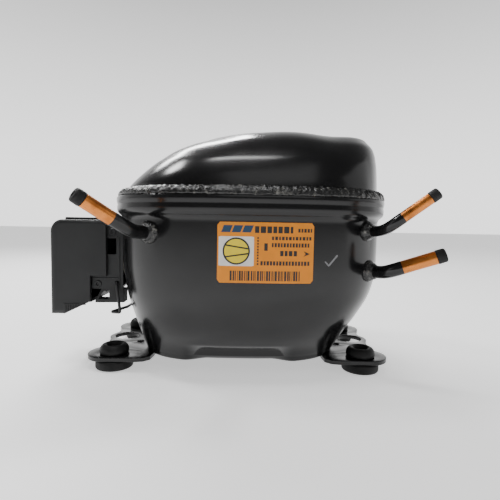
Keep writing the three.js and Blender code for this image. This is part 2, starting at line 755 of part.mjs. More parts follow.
function headPlate(x0, x1, opening) {
  const plate = block(x0, x1, -BLOCK_HALF, BLOCK_HALF, HEAD_LOW, HEAD_HIGH);
  const ways = HEAD_BOLTS.map((place) => boltWay(x0 - 1, x1 + 1, place));
  return subtract(plate, ...ways, opening);
}

function valvePlate() {
  const x0 = BLOCK_END + GAP;
  const x1 = x0 + VALVE_THICK;
  const port = (radius, y) => cylinderWay(radius, x0 - 1, x1 + 1, ROUND).translate(0, y, 0);
  return headPlate(x0, x1, fromSolid(toSolid(port(2.4, -5)).add(toSolid(port(2, 5)))));
}

function headGasket() {
  const x0 = BLOCK_END + 2 * GAP + VALVE_THICK;
  const x1 = x0 + GASKET_THICK;
  return headPlate(x0, x1, block(x0 - 1, x1 + 1, -14, 14, CYLINDER_Z - 12, CYLINDER_Z + 12));
}

function cylinderHead() {
  const high = [CYLINDER_Z - 11, CYLINDER_Z + 11];
  const plenums = unite(
    block(HEAD_START - 1, HEAD_END - HEAD_WALL, -13, -1, ...high),
    block(HEAD_START - 1, HEAD_END - HEAD_WALL, 1, 13, ...high),
  );
  return headPlate(HEAD_START, HEAD_END, plenums);
}

function headBolt([y, z]) {
  const start = BLOCK_END - 12;
  const seat = HEAD_END + GAP;
  const end = HEAD_END + BOLT_HEAD;
  const head = BOLT_RADIUS + 1.8;
  const shank = [[0, start], [BOLT_RADIUS, start], [BOLT_RADIUS, seat]];
  const profile = [...shank, [head, seat], [head, end], [0, end]];
  return turned(profile, 8).rotateY(Math.PI / 2).translate(0, y, z);
}

// ---------------------------------------------------------------- pump: piston, rod and crank
const PIN_X = CRANK_THROW + ROD_LENGTH;
const CROWN_X = PIN_X + 12;
const SKIRT_X = PIN_X - 8;
const ROD_LOW = CYLINDER_Z - ROD_THICK / 2;
const ROD_HIGH = CYLINDER_Z + ROD_THICK / 2;
const WEB_LOW = DECK_HIGH + 8.4;
const WEB_HIGH = CYLINDER_Z - 5;
const WEB_RADIUS = SHAFT_RADIUS + 2;
const WEIGHT_WALL = 6.7;

function piston() {
  const pocket = cylinderWay(PISTON_RADIUS - 2.5, SKIRT_X - 1, CROWN_X - 4);
  const pinWay = rod(GUDGEON_RADIUS + GAP, CYLINDER_Z - 18, CYLINDER_Z + 17, 20).translate(PIN_X, 0, 0);
  return subtract(cylinderWay(PISTON_RADIUS, SKIRT_X, CROWN_X), pocket, pinWay);
}

function connectingRod() {
  const eye = (radius, x, points, over = 0) => (
    rod(radius, ROD_LOW - over, ROD_HIGH + over, points).translate(x, 0, 0)
  );
  const bigEnd = eye(CRANK_PIN_RADIUS + 4, CRANK_THROW, ROUND);
  const smallEnd = eye(GUDGEON_RADIUS + 3.3, PIN_X, 24);
  const shank = block(CRANK_THROW + 8, PIN_X - 4.5, -3, 3, ROD_LOW + 0.5, ROD_HIGH - 0.5);
  const bigWay = eye(CRANK_PIN_RADIUS + RUNNING_CLEARANCE, CRANK_THROW, ROUND, 1);
  const smallWay = eye(GUDGEON_RADIUS + RUNNING_CLEARANCE, PIN_X, 24, 1);
  return subtract(unite(bigEnd, smallEnd, shank), bigWay, smallWay);
}

function gudgeonPin() {
  const half = PISTON_RADIUS - 1;
  return rod(GUDGEON_RADIUS, CYLINDER_Z - half, CYLINDER_Z + half, 20).translate(PIN_X, 0, 0);
}

function crankshaft() {
  const shaft = rod(SHAFT_RADIUS, SHAFT_LOW, WEB_LOW + 2.6, FINE_ROUND);
  const web = rod(WEB_RADIUS, WEB_LOW, WEB_HIGH);
  const pinSeat = rod(CRANK_PIN_RADIUS + 1.5, WEB_LOW, WEB_HIGH, 24).translate(CRANK_THROW, 0, 0);
  const pin = rod(CRANK_PIN_RADIUS, WEB_HIGH - 1, ROD_LOW - GAP, 24).translate(CRANK_THROW, 0, 0);
  return unite(shaft, web, pinSeat, pin);
}

function counterweight() {
  const full = ringOf(WEB_RADIUS + GAP, WEB_RADIUS + GAP + WEIGHT_WALL, WEB_LOW, WEB_HIGH + 0.4, 24);
  return subtract(full, block(-4, 20, -20, 20, WEB_LOW - 3, WEB_HIGH + 4));
}

function rotor() {
  const outer = STATOR_BORE - AIR_GAP;
  return ringOf(SHAFT_RADIUS + GAP, outer, STATOR_LOW + 1, STATOR_HIGH - 1, 24);
}

function oilPickup() {
  const high = SHAFT_LOW - GAP;
  return turned([[0, SPRING_LOW], [2.4, SPRING_LOW], [5.5, 16], [5.5, high], [0, high]], 20);
}

function stator() {
  const half = STATOR_HALF;
  const core = slab(roundedRect(-half, half, -half, half, 9), STATOR_LOW, STATOR_HIGH, 4);
  return subtract(core, rod(STATOR_BORE, STATOR_LOW - 1, STATOR_HIGH + 1, 24));
}

function winding(z0, z1) {
  const [inner, outer, soft] = [STATOR_BORE + 1.5, STATOR_HALF - 4, 2.5];
  const profile = [
    [inner, z0 + soft],
    [inner + soft, z0],
    [outer - soft, z0],
    [outer, z0 + soft],
    [outer, z1 - soft],
    [outer - soft, z1],
    [inner + soft, z1],
    [inner, z1 - soft],
  ];
  return turned(profile, 18);
}

// The shock loop: out of the head, along the front of the pump, back and out to the discharge stub.
function dischargeLoop() {
  const { start, out } = TUBES.discharge;
  const corners = [
    vec(68, -BLOCK_HALF - 0.4, CYLINDER_Z - 7),
    vec(68, -34, CYLINDER_Z - 7),
    vec(52, -50, CYLINDER_Z - 13),
    vec(-30, -52, CYLINDER_Z - 16),
    vec(-44, -50, CYLINDER_Z - 25),
    vec(-30, -54, CYLINDER_Z - 33),
    vec(50, -56, CYLINDER_Z - 31),
    start.clone().addScaledVector(out, -1),
  ];
  return wire(bentLine(corners, 9, 3), 1.8, 6);
}

function suspensionSpring(x, y) {
  const high = STATOR_LOW - GAP;
  const rise = high - SPRING_LOW - 2 * SPRING_WIRE;
  const steps = SPRING_TURNS * 8;
  const line = [];
  for (let i = 0; i <= steps; i += 1) {
    const angle = (2 * Math.PI * SPRING_TURNS * i) / steps;
    const z = SPRING_LOW + SPRING_WIRE + (rise * i) / steps;
    line.push(vec(x + SPRING_RADIUS * Math.cos(angle), y + SPRING_RADIUS * Math.sin(angle), z));
  }
  return wire(line, SPRING_WIRE, 4);
}

function springPeg() {
  const foot = SPRING_LOW - 2.6;
  const seat = SPRING_LOW - 0.4;
  const stem = SPRING_RADIUS - SPRING_WIRE - 1.1;
  return turned([[0, foot], [6, foot], [6, seat], [stem, seat], [stem, 18], [stem - 1.2, 20], [0, 20]]);
}

function suctionMuffler() {
  const low = BLOCK_HALF + GAP;
  return slab(roundedRect(38, 74, low, low + 19.7, 5), DECK_HIGH + 1, CYLINDER_Z + 15, 4);
}

// ---------------------------------------------------------------- assembly
const part = new THREE.Group();
part.name = "hermetic_reciprocating_compressor";

function add(name, geometry, look) {
  const bare = geometry.index ? geometry : mergeVertices(geometry, 1e-4);
  bare.computeVertexNormals();
  const mesh = new THREE.Mesh(bare, new THREE.MeshStandardMaterial(LOOKS[look]));
  mesh.name = name;
  part.add(mesh);
}

add("lower_shell", subtract(lowerShell(), ...Object.values(TUBES).map(tubeHole)), "paint");
add("upper_shell", upperShell(), "paint");
add("weld_seam", weldSeam(), "weld");
add("base_plate_left", basePlate(-1), "paint");
add("base_plate_right", basePlate(1), "paint");

for (const [sideName, side] of [["left", -1], ["right", 1]]) {
  for (const [endName, end] of [["front", -1], ["rear", 1]]) {
    const corner = `${sideName}_${endName}`;
    const springX = side * SPRING_X;
    const springY = end * SPRING_Y;
    add(`grommet_${corner}`, grommet((side * MOUNT_X) / 2, (end * MOUNT_Y) / 2), "rubber");
    add(`spring_peg_${corner}`, springPeg().translate(springX, springY, 0), "plastic");
    add(`spring_${corner}`, suspensionSpring(springX, springY), "steel");
  }
}

for (const [name, tube] of Object.entries(TUBES)) {
  add(`${name}_tube`, tubeStub(tube), "copper");
  add(`${name}_collar`, tubeCollar(tube), "weld");
  add(`${name}_plug`, tubePlug(tube), "rubber");
}

add("rating_label", nameplate(), "label");

add("terminal_fence", terminalFence(), "plastic");
add("terminal_header", terminalHeader(), "ceramic");
PIN_PLACES.forEach((place, k) => add(`terminal_pin_${k + 1}`, terminalPin(place), "steel"));
add("starter_relay", starterRelay(), "plastic");
add("overload_protector", overloadProtector(), "plastic");
add("terminal_cover", terminalCover(), "plastic");
add("cord_clamp", cordClamp(), "plastic");
add("bail_clip", bailClip(), "steel");
add("earth_screw", earthScrew(), "steel");

add("crankcase", crankcase(), "cast");
add("valve_plate", valvePlate(), "steel");
add("head_gasket", headGasket(), "plastic");
add("cylinder_head", cylinderHead(), "aluminium");
HEAD_BOLTS.forEach((place, k) => add(`head_bolt_${k + 1}`, headBolt(place), "steel"));
add("piston", piston(), "cast");
add("gudgeon_pin", gudgeonPin(), "steel");
add("connecting_rod", connectingRod(), "aluminium");
add("crankshaft", crankshaft(), "steel");
add("counterweight", counterweight(), "cast");
add("rotor", rotor(), "aluminium");
add("oil_pickup", oilPickup(), "steel");
add("stator", stator(), "steel");
add("winding_upper", winding(STATOR_HIGH + GAP, STATOR_HIGH + 12), "winding");
add("winding_lower", winding(STATOR_LOW - 12, STATOR_LOW - GAP), "winding");
add("suction_muffler", suctionMuffler(), "plastic");
add("discharge_loop", dischargeLoop(), "copper");

// Put the middle of the whole object's base at the origin.
const box = new THREE.Box3().setFromObject(part);
const shift = vec(-(box.min.x + box.max.x) / 2, -(box.min.y + box.max.y) / 2, -box.min.z);
part.children.forEach((mesh) => mesh.geometry.translate(shift.x, shift.y, shift.z));

export default part;
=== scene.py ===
"""Looks of a hermetic reciprocating compressor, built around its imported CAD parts.

Lengths in the tables are millimetres about the middle of the four mounting holes, with z = 0 at the
top of the base plates. mm() turns them into the frame's metres.
"""

import json
import math

import bmesh
import bpy
from mathutils import Matrix, Vector, noise

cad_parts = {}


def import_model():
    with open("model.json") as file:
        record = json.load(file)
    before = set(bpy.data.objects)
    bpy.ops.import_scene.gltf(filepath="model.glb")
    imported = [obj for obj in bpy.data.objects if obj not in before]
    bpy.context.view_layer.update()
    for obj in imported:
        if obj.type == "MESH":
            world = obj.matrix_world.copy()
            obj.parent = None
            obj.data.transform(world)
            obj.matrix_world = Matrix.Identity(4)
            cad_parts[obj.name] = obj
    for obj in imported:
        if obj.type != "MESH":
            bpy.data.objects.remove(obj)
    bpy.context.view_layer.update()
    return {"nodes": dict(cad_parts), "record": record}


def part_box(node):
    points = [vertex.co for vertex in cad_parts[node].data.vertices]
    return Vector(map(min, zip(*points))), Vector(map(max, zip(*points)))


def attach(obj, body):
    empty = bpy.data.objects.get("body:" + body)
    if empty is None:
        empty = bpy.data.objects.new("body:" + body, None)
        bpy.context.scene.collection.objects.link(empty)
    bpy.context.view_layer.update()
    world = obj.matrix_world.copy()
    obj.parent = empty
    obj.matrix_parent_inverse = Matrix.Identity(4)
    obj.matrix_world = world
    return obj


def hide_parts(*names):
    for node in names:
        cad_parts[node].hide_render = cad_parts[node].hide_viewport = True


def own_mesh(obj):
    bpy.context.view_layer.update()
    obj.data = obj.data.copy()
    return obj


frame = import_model()

# ------------------------------------------------------------------ the frame's own places
SIDES = {"left": -1, "right": 1}
ENDS = {"front": -1, "rear": 1}
FEET = [f"grommet_{side}_{end}" for side in SIDES for end in ENDS]


def middle(node):
    low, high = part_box(node)
    return (low + high) / 2


foot_middle = sum((middle(node) for node in FEET), Vector()) / len(FEET)
plate_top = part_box("base_plate_left")[1].z
ORIGIN = Vector((foot_middle.x, foot_middle.y, plate_top))


def mm(x, y, z):
    return ORIGIN + Vector((x, y, z)) / 1000


# ------------------------------------------------------------------ driving sizes
CORNER = 2.8
BODY_LEFT = -83.4
BODY_RIGHT = 98.2
BODY_MIDDLE = (BODY_LEFT + BODY_RIGHT) / 2
BODY_HALF = 71.0
LIP_OUT = 3.8
WALL = 3.0
MOUNT_X = 170.0
MOUNT_Y = 70.0
PLATE_THICK = 3.0
AROUND = 288

# Levels of the pressed shells: height, left end, right end, half depth, corner squareness.
LOWER_LEVELS = [
    (-2.3, 0.9, 1.1, 0.1, 2.3),
    (-2.2, -34, 36, 20, 2.3),
    (-1.8, -57, 56, 37, 2.4),
    (0, -66, 67, 51, 3),
    (4, -68.5, 70.5, 53, 2.9),
    (10, -71, 74.5, 56.5, 2.75),
    (20, -74, 80.3, 64, 2.7),
    (30, -76.8, 86.5, 68, 2.75),
    (44, -80.5, 94, 70.6, CORNER),
    (62, -83, 98, BODY_HALF, CORNER),
    (91.5, BODY_LEFT, BODY_RIGHT, BODY_HALF, CORNER),
]
UPPER_LEVELS = [
    (103, -82.4, 97.2, 70.8, CORNER),
    (112.3, -79.5, 97, 69.8, CORNER),
    (119.3, -73.6, 96.9, 68, CORNER),
    (128.1, -63.9, 96.8, 63.5, CORNER),
    (133.4, -56.8, 96.6, 59.5, CORNER),
    (138.6, -49.3, 96.2, 54.5, CORNER),
    (143.5, -39.4, 95, 48.5, CORNER),
    (147.6, -29.9, 92.6, 41, CORNER),
    (151.1, -23.2, 90.7, 32.5, CORNER),
    (153.4, -17.9, 86.7, 24, 2.6),
    (154.7, -11.9, 78.2, 15, 2.4),
    (155.4, -0.4, 60.2, 8, 2.2),
    (155.7, 25.5, 25.7, 0.1, 2.0),
]


# ------------------------------------------------------------------ mesh helpers
def finish_mesh(name, vertices, faces, material, smooth=40):
    """A mesh object from millimetre points, with edges sharper than `smooth` degrees kept sharp."""
    mesh = bpy.data.meshes.new(name)
    mesh.from_pydata([mm(*v) for v in vertices], [], faces)
    mesh.validate()
    bm = bmesh.new()
    bm.from_mesh(mesh)
    bmesh.ops.recalc_face_normals(bm, faces=bm.faces)
    bm.to_mesh(mesh)
    bm.free()
    mesh.polygons.foreach_set("use_smooth", [True] * len(mesh.polygons))
    mesh.set_sharp_from_angle(angle=math.radians(smooth))
    mesh.materials.append(material)
    obj = bpy.data.objects.new(name, mesh)
    bpy.context.scene.collection.objects.link(obj)
    return obj


def loft(name, rings, material, loop=False, capped=True, smooth=40):
    """A closed body through equal rings of points."""
    count = len(rings[0])
    vertices = [point for ring in rings for point in ring]
    faces = []
    for k in range(len(rings) if loop else len(rings) - 1):
        a = k * count
        b = (k + 1) % len(rings) * count
        for i in range(count):
            j = (i + 1) % count
            faces.append((a + i, a + j, b + j, b + i))
    if capped and not loop:
        faces.append(tuple(range(count)))
        faces.append(tuple(range(len(vertices) - count, len(vertices))))
    return finish_mesh(name, vertices, faces, material, smooth)


def lathe(name, profile, material, place, axis=(0, 0, 1), segments=64, loop=True, wobble=None):
    """A turned body: profile pairs are radius and height, carried to a place and turned to an axis."""
    turn = Vector((0, 0, 1)).rotation_difference(Vector(axis)).to_matrix()
    rings = []
    for radius, height in profile:
        ring = []
        for i in range(segments):
            angle = 2 * math.pi * i / segments
            r = radius + (wobble(angle, height) if wobble else 0)
            ring.append(Vector(place) + turn @ Vector((r * math.cos(angle), r * math.sin(angle), height)))
        rings.append(ring)
    return loft(name, rings, material, loop=loop, capped=not loop)


def bent_line(corners, bend, steps=10):
    """A line through corner points, each corner rounded."""
    corners = [Vector(c) for c in corners]
    line = [corners[0]]
    for before, here, after in zip(corners, corners[1:], corners[2:]):
        reach = min(bend, (here - before).length / 2.1, (after - here).length / 2.1)
        a = here + (before - here).normalized() * reach
        b = here + (after - here).normalized() * reach
        for i in range(steps + 1):
            t = i / steps
            line.append(a * (1 - t) ** 2 + here * 2 * t * (1 - t) + b * t**2)
    line.append(corners[-1])
    return line


def section_rings(line, radius, sides):
    """Circles carried along a line without twist."""
    rings = []
    across = None
    for k, place in enumerate(line):
        ahead = (line[min(k + 1, len(line) - 1)] - line[max(k - 1, 0)]).normalized()
        guide = across or (Vector((0, 0, 1)) if abs(ahead.z) < 0.9 else Vector((1, 0, 0)))
        across = (guide - ahead * guide.dot(ahead)).normalized()
        third = ahead.cross(across)
        angles = [2 * math.pi * i / sides for i in range(sides)]
        rings.append([place + (across * math.cos(a) + third * math.sin(a)) * radius for a in angles])
    return rings


def tube(name, line, radius, inner, material, sides=40):
    rings = section_rings(line, radius, sides) + section_rings(line, inner, sides)[::-1]
    return loft(name, rings, material, loop=True, smooth=60)


def wire(name, line, radius, material, sides=16):
    return loft(name, section_rings(line, radius, sides), material, smooth=60)


def bevelled(obj, width, segments=3, angle=30):
    bevel = obj.modifiers.new("edges", "BEVEL")
    bevel.width = width / 1000
    bevel.segments = segments
    bevel.limit_method = "ANGLE"
    bevel.angle_limit = math.radians(angle)
    bevel.harden_normals = False
    return obj


def softened(node, name, width, material, body):
    """A copy of a CAD node with its edges rounded, shown in its place."""
    source = frame["nodes"][node]
    mesh = source.data.copy()
    mesh.materials.clear()
    mesh.materials.append(material)
    bm = bmesh.new()
    bm.from_mesh(mesh)
    bmesh.ops.remove_doubles(bm, verts=bm.verts, dist=1e-6)
    bmesh.ops.dissolve_limit(bm, angle_limit=math.radians(2), verts=bm.verts, edges=bm.edges)
    bm.to_mesh(mesh)
    bm.free()
    mesh.polygons.foreach_set("use_smooth", [True] * len(mesh.polygons))
    mesh.set_sharp_from_angle(angle=math.radians(30))
    obj = bpy.data.objects.new(name, mesh)
    bpy.context.scene.collection.objects.link(obj)
    bevelled(obj, width, 2)
    return settle(obj, body, node)


def settle(obj, body, *nodes, slot=None):
    """Rides a piece on its body and lets it stand for CAD nodes."""
    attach(obj, body)
    if nodes:
        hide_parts(*nodes)
    return obj


def arc(cx, cy, radius, start, end, steps=16):
    """Points on a circle from one angle to another, in degrees."""
    angles = [math.radians(start + (end - start) * i / steps) for i in range(steps + 1)]
    return [(cx + radius * math.cos(a), cy + radius * math.sin(a)) for a in angles]


def circle(cx, cy, radius, steps=40):
    return arc(cx, cy, radius, 0, 360 - 360 / steps, steps - 1)


def flat_plate(name, loops, low, high, edge, material):
    """A level plate from an outline and its holes, with softened edges."""
    curve = bpy.data.curves.new(name, "CURVE")
    curve.dimensions = "2D"
    curve.fill_mode = "BOTH"
    for points in loops:
        spline = curve.splines.new("POLY")
        spline.points.add(len(points) - 1)
        for point, (u, v) in zip(spline.points, points):
            point.co = (u, v, 0, 1)
        spline.use_cyclic_u = True
    curve.extrude = (high - low) / 2 - edge
    curve.bevel_depth = edge
    curve.bevel_resolution = 2
    curve.offset = -edge
    maker = bpy.data.objects.new(name + "_outline", curve)
    bpy.context.scene.collection.objects.link(maker)
    bpy.context.view_layer.update()
    made = maker.evaluated_get(bpy.context.evaluated_depsgraph_get())
    mesh = bpy.data.meshes.new_from_object(made)
    bpy.data.objects.remove(maker)
    half = (low + high) / 2
    vertices = [(v.co.x, v.co.y, v.co.z + half) for v in mesh.vertices]
    faces = [tuple(p.vertices) for p in mesh.polygons]
    bpy.data.meshes.remove(mesh)
    obj = finish_mesh(name, vertices, faces, material)
    bm = bmesh.new()
    bm.from_mesh(obj.data)
    bmesh.ops.remove_doubles(bm, verts=bm.verts, dist=1e-6)
    bmesh.ops.recalc_face_normals(bm, faces=bm.faces)
    bm.to_mesh(obj.data)
    bm.free()
    obj.data.set_sharp_from_angle(angle=math.radians(35))
    return obj


# ------------------------------------------------------------------ materials
def node_material(name, colour, rough, metal=0.0, **sockets):
    """A Principled material with the given even values, ready for its noise."""
    material = bpy.data.materials.new(name)
    material.use_nodes = True
    shader = material.node_tree.nodes["Principled BSDF"]
    shader.inputs["Base Color"].default_value = (*colour, 1)
    shader.inputs["Roughness"].default_value = rough
    shader.inputs["Metallic"].default_value = metal
    for socket, value in sockets.items():
        shader.inputs[socket.replace("_", " ")].default_value = value
    return material


def add_noise(material, scale, stretch=(1, 1, 1), detail=4.0):
    """Noise in the object's own space, as a node whose Fac runs from 0 to 1."""
    nodes, links = material.node_tree.nodes, material.node_tree.links
    place = nodes.new("ShaderNodeTexCoord")
    mapping = nodes.new("ShaderNodeMapping")
    mapping.inputs["Scale"].default_value = stretch
    texture = nodes.new("ShaderNodeTexNoise")
    texture.inputs["Scale"].default_value = scale
    texture.inputs["Detail"].default_value = detail
    links.new(place.outputs["Object"], mapping.inputs["Vector"])
    links.new(mapping.outputs["Vector"], texture.inputs["Vector"])
    return texture.outputs["Fac"]


def spread(material, source, low, high, start=0.35, stop=0.65):
    """Maps a 0 to 1 value onto low to high between two stops."""
    nodes, links = material.node_tree.nodes, material.node_tree.links
    ramp = nodes.new("ShaderNodeMapRange")
    ramp.inputs["From Min"].default_value = start
    ramp.inputs["From Max"].default_value = stop
    ramp.inputs["To Min"].default_value = low
    ramp.inputs["To Max"].default_value = high
    links.new(source, ramp.inputs["Value"])
    return ramp.outputs["Result"]


def vary_rough(material, scale, low, high, **how):
    value = spread(material, add_noise(material, scale, **how), low, high)
    shader = material.node_tree.nodes["Principled BSDF"]
    material.node_tree.links.new(value, shader.inputs["Roughness"])


def vary_colour(material, scale, first, second, start=0.35, stop=0.65, **how):
    nodes, links = material.node_tree.nodes, material.node_tree.links
    fac = spread(material, add_noise(material, scale, **how), 0, 1, start, stop)
    mix = nodes.new("ShaderNodeMix")
    mix.data_type = "RGBA"
    mix.inputs["A"].default_value = (*first, 1)
    mix.inputs["B"].default_value = (*second, 1)
    links.new(fac, mix.inputs["Factor"])
    links.new(mix.outputs["Result"], nodes["Principled BSDF"].inputs["Base Color"])


def bump(material, scale, strength, depth=0.0002, **how):
    nodes, links = material.node_tree.nodes, material.node_tree.links
    node = nodes.new("ShaderNodeBump")
    node.inputs["Strength"].default_value = strength
    node.inputs["Distance"].default_value = depth
    links.new(add_noise(material, scale, **how), node.inputs["Height"])
    links.new(node.outputs["Normal"], nodes["Principled BSDF"].inputs["Normal"])


def black_paint():
    material = node_material("black_paint", (0.006, 0.006, 0.0064), 0.2, Specular_IOR_Level=0.45)
    vary_colour(material, 60, (0.005, 0.005, 0.0053), (0.008, 0.008, 0.0084))
    vary_rough(material, 26, 0.16, 0.23)
    bump(material, 420, 0.06, 0.0001, detail=2.0)
    return material


def weld_paint_and_glints():
    material = node_material("weld_paint_and_glints", (0.01, 0.01, 0.01), 0.2, Specular_IOR_Level=0.6)
    # Painted glints: the pale grey specks in the colour stand in for light catching on the rough bead; the
    # rest is the paint's own near-black.
    vary_colour(material, 330, (0.008, 0.008, 0.008), (0.17, 0.165, 0.15), start=0.57, stop=0.75)
    vary_rough(material, 260, 0.1, 0.3)
    bump(material, 430, 1.0, 0.0008)
    return material


def copper():
    material = node_material("drawn_copper", (0.62, 0.21, 0.05), 0.3, 1.0)
    vary_colour(material, 90, (0.66, 0.23, 0.055), (0.3, 0.085, 0.02), start=0.46, stop=0.72)
    vary_rough(material, 160, 0.24, 0.42)
    bump(material, 900, 0.1, 0.00008)
    return material


def rubber(name="black_rubber", shade=0.008):
    material = node_material(name, (shade, shade, shade), 0.6, Specular_IOR_Level=0.3)
    vary_colour(material, 120, (shade * 0.8,) * 3, (shade * 1.9,) * 3, start=0.4, stop=0.75)
    vary_rough(material, 90, 0.5, 0.75)
    bump(material, 700, 0.3, 0.00015)
    return material


def moulded_plastic():
    material = node_material("moulded_plastic", (0.016, 0.0165, 0.017), 0.45, Specular_IOR_Level=0.35)
    vary_colour(material, 40, (0.014, 0.0145, 0.015), (0.02, 0.0205, 0.021))
    vary_rough(material, 70, 0.38, 0.52)
    bump(material, 1500, 0.16, 0.00012, detail=2.0)
    return material


def satin_steel_paint():
    material = node_material("satin_black_steel", (0.012, 0.012, 0.013), 0.36, Specular_IOR_Level=0.4)
    vary_colour(material, 80, (0.01, 0.01, 0.011), (0.02, 0.02, 0.021))
    vary_rough(material, 60, 0.3, 0.5)
    bump(material, 600, 0.15, 0.0001)
    return material


def printed(name, colour, rough=0.42):
    material = node_material(name, colour, rough)
    vary_colour(material, 150, tuple(0.93 * c for c in colour), colour)
    vary_rough(material, 45, rough - 0.06, rough + 0.08)
    bump(material, 500, 0.06, 0.00005)
    return material


def bare_metal(name, colour, rough, grain=(1, 1, 12)):
    material = node_material(name, colour, rough, 1.0)
    vary_colour(material, 200, tuple(0.8 * c for c in colour), colour)
    vary_rough(material, 220, rough - 0.08, rough + 0.12, stretch=grain)
    bump(material, 420, 0.15, 0.0001, stretch=grain)
    return material


def fired_ceramic():
    material = node_material("fired_ceramic", (0.72, 0.69, 0.6), 0.35)
    vary_colour(material, 90, (0.66, 0.63, 0.54), (0.76, 0.73, 0.65))
    vary_rough(material, 60, 0.28, 0.45)
    bump(material, 300, 0.1)
    return material


PAINT = black_paint()
WELD = weld_paint_and_glints()
COPPER = copper()
RUBBER = rubber()
PLUG = rubber("plug_rubber", 0.01)
PLASTIC = moulded_plastic()
STEEL_PAINT = satin_steel_paint()
LABEL = printed("label_orange", (0.85, 0.27, 0.0))
LABEL_WHITE = printed("label_white", (0.8, 0.78, 0.74))
LABEL_YELLOW = printed("label_yellow", (0.86, 0.66, 0.02))
LABEL_INK = printed("label_ink", (0.02, 0.018, 0.016))
LABEL_BLUE = printed("label_blue", (0.012, 0.05, 0.11))
CHALK = printed("chalk_grey", (0.23, 0.23, 0.24), 0.8)

SLOT_LOOKS = {
    "black_paint": PAINT,
    "painted_weld": WELD,
    "copper": COPPER,
    "black_rubber": RUBBER,
    "dark_plastic": PLASTIC,
    "black_steel": STEEL_PAINT,
    "label_film": LABEL,
    "ceramic": fired_ceramic(),
    "bare_steel": bare_metal("machined_steel", (0.56, 0.56, 0.58), 0.32),
    "cast_iron": bare_metal("cast_iron", (0.12, 0.12, 0.125), 0.6, (1, 1, 1)),
    "aluminium": bare_metal("cast_aluminium", (0.66, 0.67, 0.69), 0.4, (1, 1, 1)),
    "enamelled_copper": bare_metal("enamelled_copper", (0.45, 0.13, 0.04), 0.3, (1, 1, 30)),
}


def dress_cad_nodes():
    """Every CAD node gets its slot's material, whether or not a finer piece stands for it."""
    for row in frame["record"]["subparts"]:
        node = frame["nodes"][row["node"]]
        node.data.materials.clear()
        node.data.materials.append(SLOT_LOOKS[row["material_slot"]])


# ------------------------------------------------------------------ pressed shells
def between(levels, share):
    """The level at a share of the way through a table, on a smooth curve through its rows."""
    position = share * (len(levels) - 1)
    k = min(int(position), len(levels) - 2)
    t = position - k
    rows = [levels[max(k - 1, 0)], levels[k], levels[k + 1], levels[min(k + 2, len(levels) - 1)]]
    out = []
    for a, b, c, d in zip(*rows):
        slope_b = 0.5 * (c - a)
        slope_c = 0.5 * (d - b)
        if (c - b) * slope_b <= 0:
            slope_b = 0
        if (c - b) * slope_c <= 0:
            slope_c = 0
        limit = 3 * abs(c - b)
        slope_b = max(-limit, min(limit, slope_b))
        slope_c = max(-limit, min(limit, slope_c))
        h = t * t * (3 - 2 * t)
        out.append(b + (c - b) * h + slope_b * (t - 2 * t**2 + t**3) + slope_c * (t**3 - t**2))
    return out


def outline_point(level, angle, grow=0.0):
    z, left, right, half, corner = level
    c, s = math.cos(angle), math.sin(angle)
    a = (right - left) / 2 + grow
    b = half + grow
    x = (left + right) / 2 + a * math.copysign(abs(c) ** (2 / corner), c)
    return Vector((x, b * math.copysign(abs(s) ** (2 / corner), s), z))


def outline(level, grow=0.0, shift=None):
    """One ring. Points gather at neither the corners nor the flats."""
    ring = []
    for i in range(AROUND):
        angle = 2 * math.pi * (i + 0.5) / AROUND
        c, s = math.cos(angle), math.sin(angle)
        squared = math.atan2(math.copysign(abs(s) ** 1.25, s), math.copysign(abs(c) ** 1.25, c))
        point = outline_point(level, squared, grow)
        ring.append(shift(point) if shift else point)
    return ring


def ease(value, low, high):
    t = max(0.0, min(1.0, (value - low) / (high - low)))
    return t * t * (3 - 2 * t)


RECESS_MIDDLE = 1.0
RECESS_FLAT = 21.0
RECESS_EDGE = 37.0
RECESS_TOP = 13.0
RECESS_DEPTH = 15.0
BELLY_DROP = 3.0
CREASE_X = 60.5
CREASE_TOP = 30.0
CREASE_WIDTHS = {-1: 2.0, 1: 2.8}
CREASE_DEPTHS = {-1: 2.0, 1: 3.0}
CREASE_FADE_FROM = 8.0
PRESSED_FROM_Y = 14.0
PRESSED_FULL_Y = 44.0


def pressed_bottom(point):
    """Draws the recess between the two foot bulges and the creases beside them into the shell."""
    x, y, z = point
    along = abs(x - RECESS_MIDDLE)
    side = 1 if x > RECESS_MIDDLE else -1
    between_bulges = 1 - ease(along, RECESS_FLAT, RECESS_EDGE)
    up = max(0.0, min(1.0, z / RECESS_TOP))
    recess = between_bulges * (1 - up) ** 1.3
    crease = math.exp(-(((along - CREASE_X) / CREASE_WIDTHS[side]) ** 2))
    crease *= 1 - ease(z, CREASE_FADE_FROM, CREASE_TOP)
    near_side = ease(abs(y), PRESSED_FROM_Y, PRESSED_FULL_Y)
    point.y -= math.copysign(near_side * (RECESS_DEPTH * recess + CREASE_DEPTHS[side] * crease), y)
    point.z -= BELLY_DROP * between_bulges * (1 - ease(z, -1, 7))
    return point


# The lip at the top of the lower shell: heights and how far it stands out from the wall.
LIP_PROFILE = [
    (92.4, 0.05), (93.4, 0.3), (94.3, 0.9), (95.0, 1.7), (95.7, 2.5), (96.6, 3.1), (97.8, 3.5), (99.2, 3.6),
    (100.6, 3.5), (101.6, 3.3), (102.6, 3.5), (104.2, LIP_OUT), (105.8, LIP_OUT), (106.8, 3.3), (107.2, 2.7),
    (107.0, 1.4), (97.0, 1.4), (96.0, -WALL),
]


LOWER_STEPS = 132
UPPER_STEPS = 120
DOME_INNER_ROWS = 8


def lower_shell():
    rings = []
    for k in range(LOWER_STEPS + 1):
        rings.append(outline(between(LOWER_LEVELS, k / LOWER_STEPS), shift=pressed_bottom))
    for z, grow in LIP_PROFILE:
        rings.append(outline((z, BODY_LEFT, BODY_RIGHT, BODY_HALF, CORNER), grow))
    for z in [*range(90, 6, -6), 6, 2]:
        inside = between(LOWER_LEVELS, share_of(LOWER_LEVELS, z))
        inside[0] += WALL / 2
        rings.append(outline(inside, -WALL - 0.5))
    return settle(loft("lower_body", rings, PAINT, smooth=60), "shell", "lower_shell")


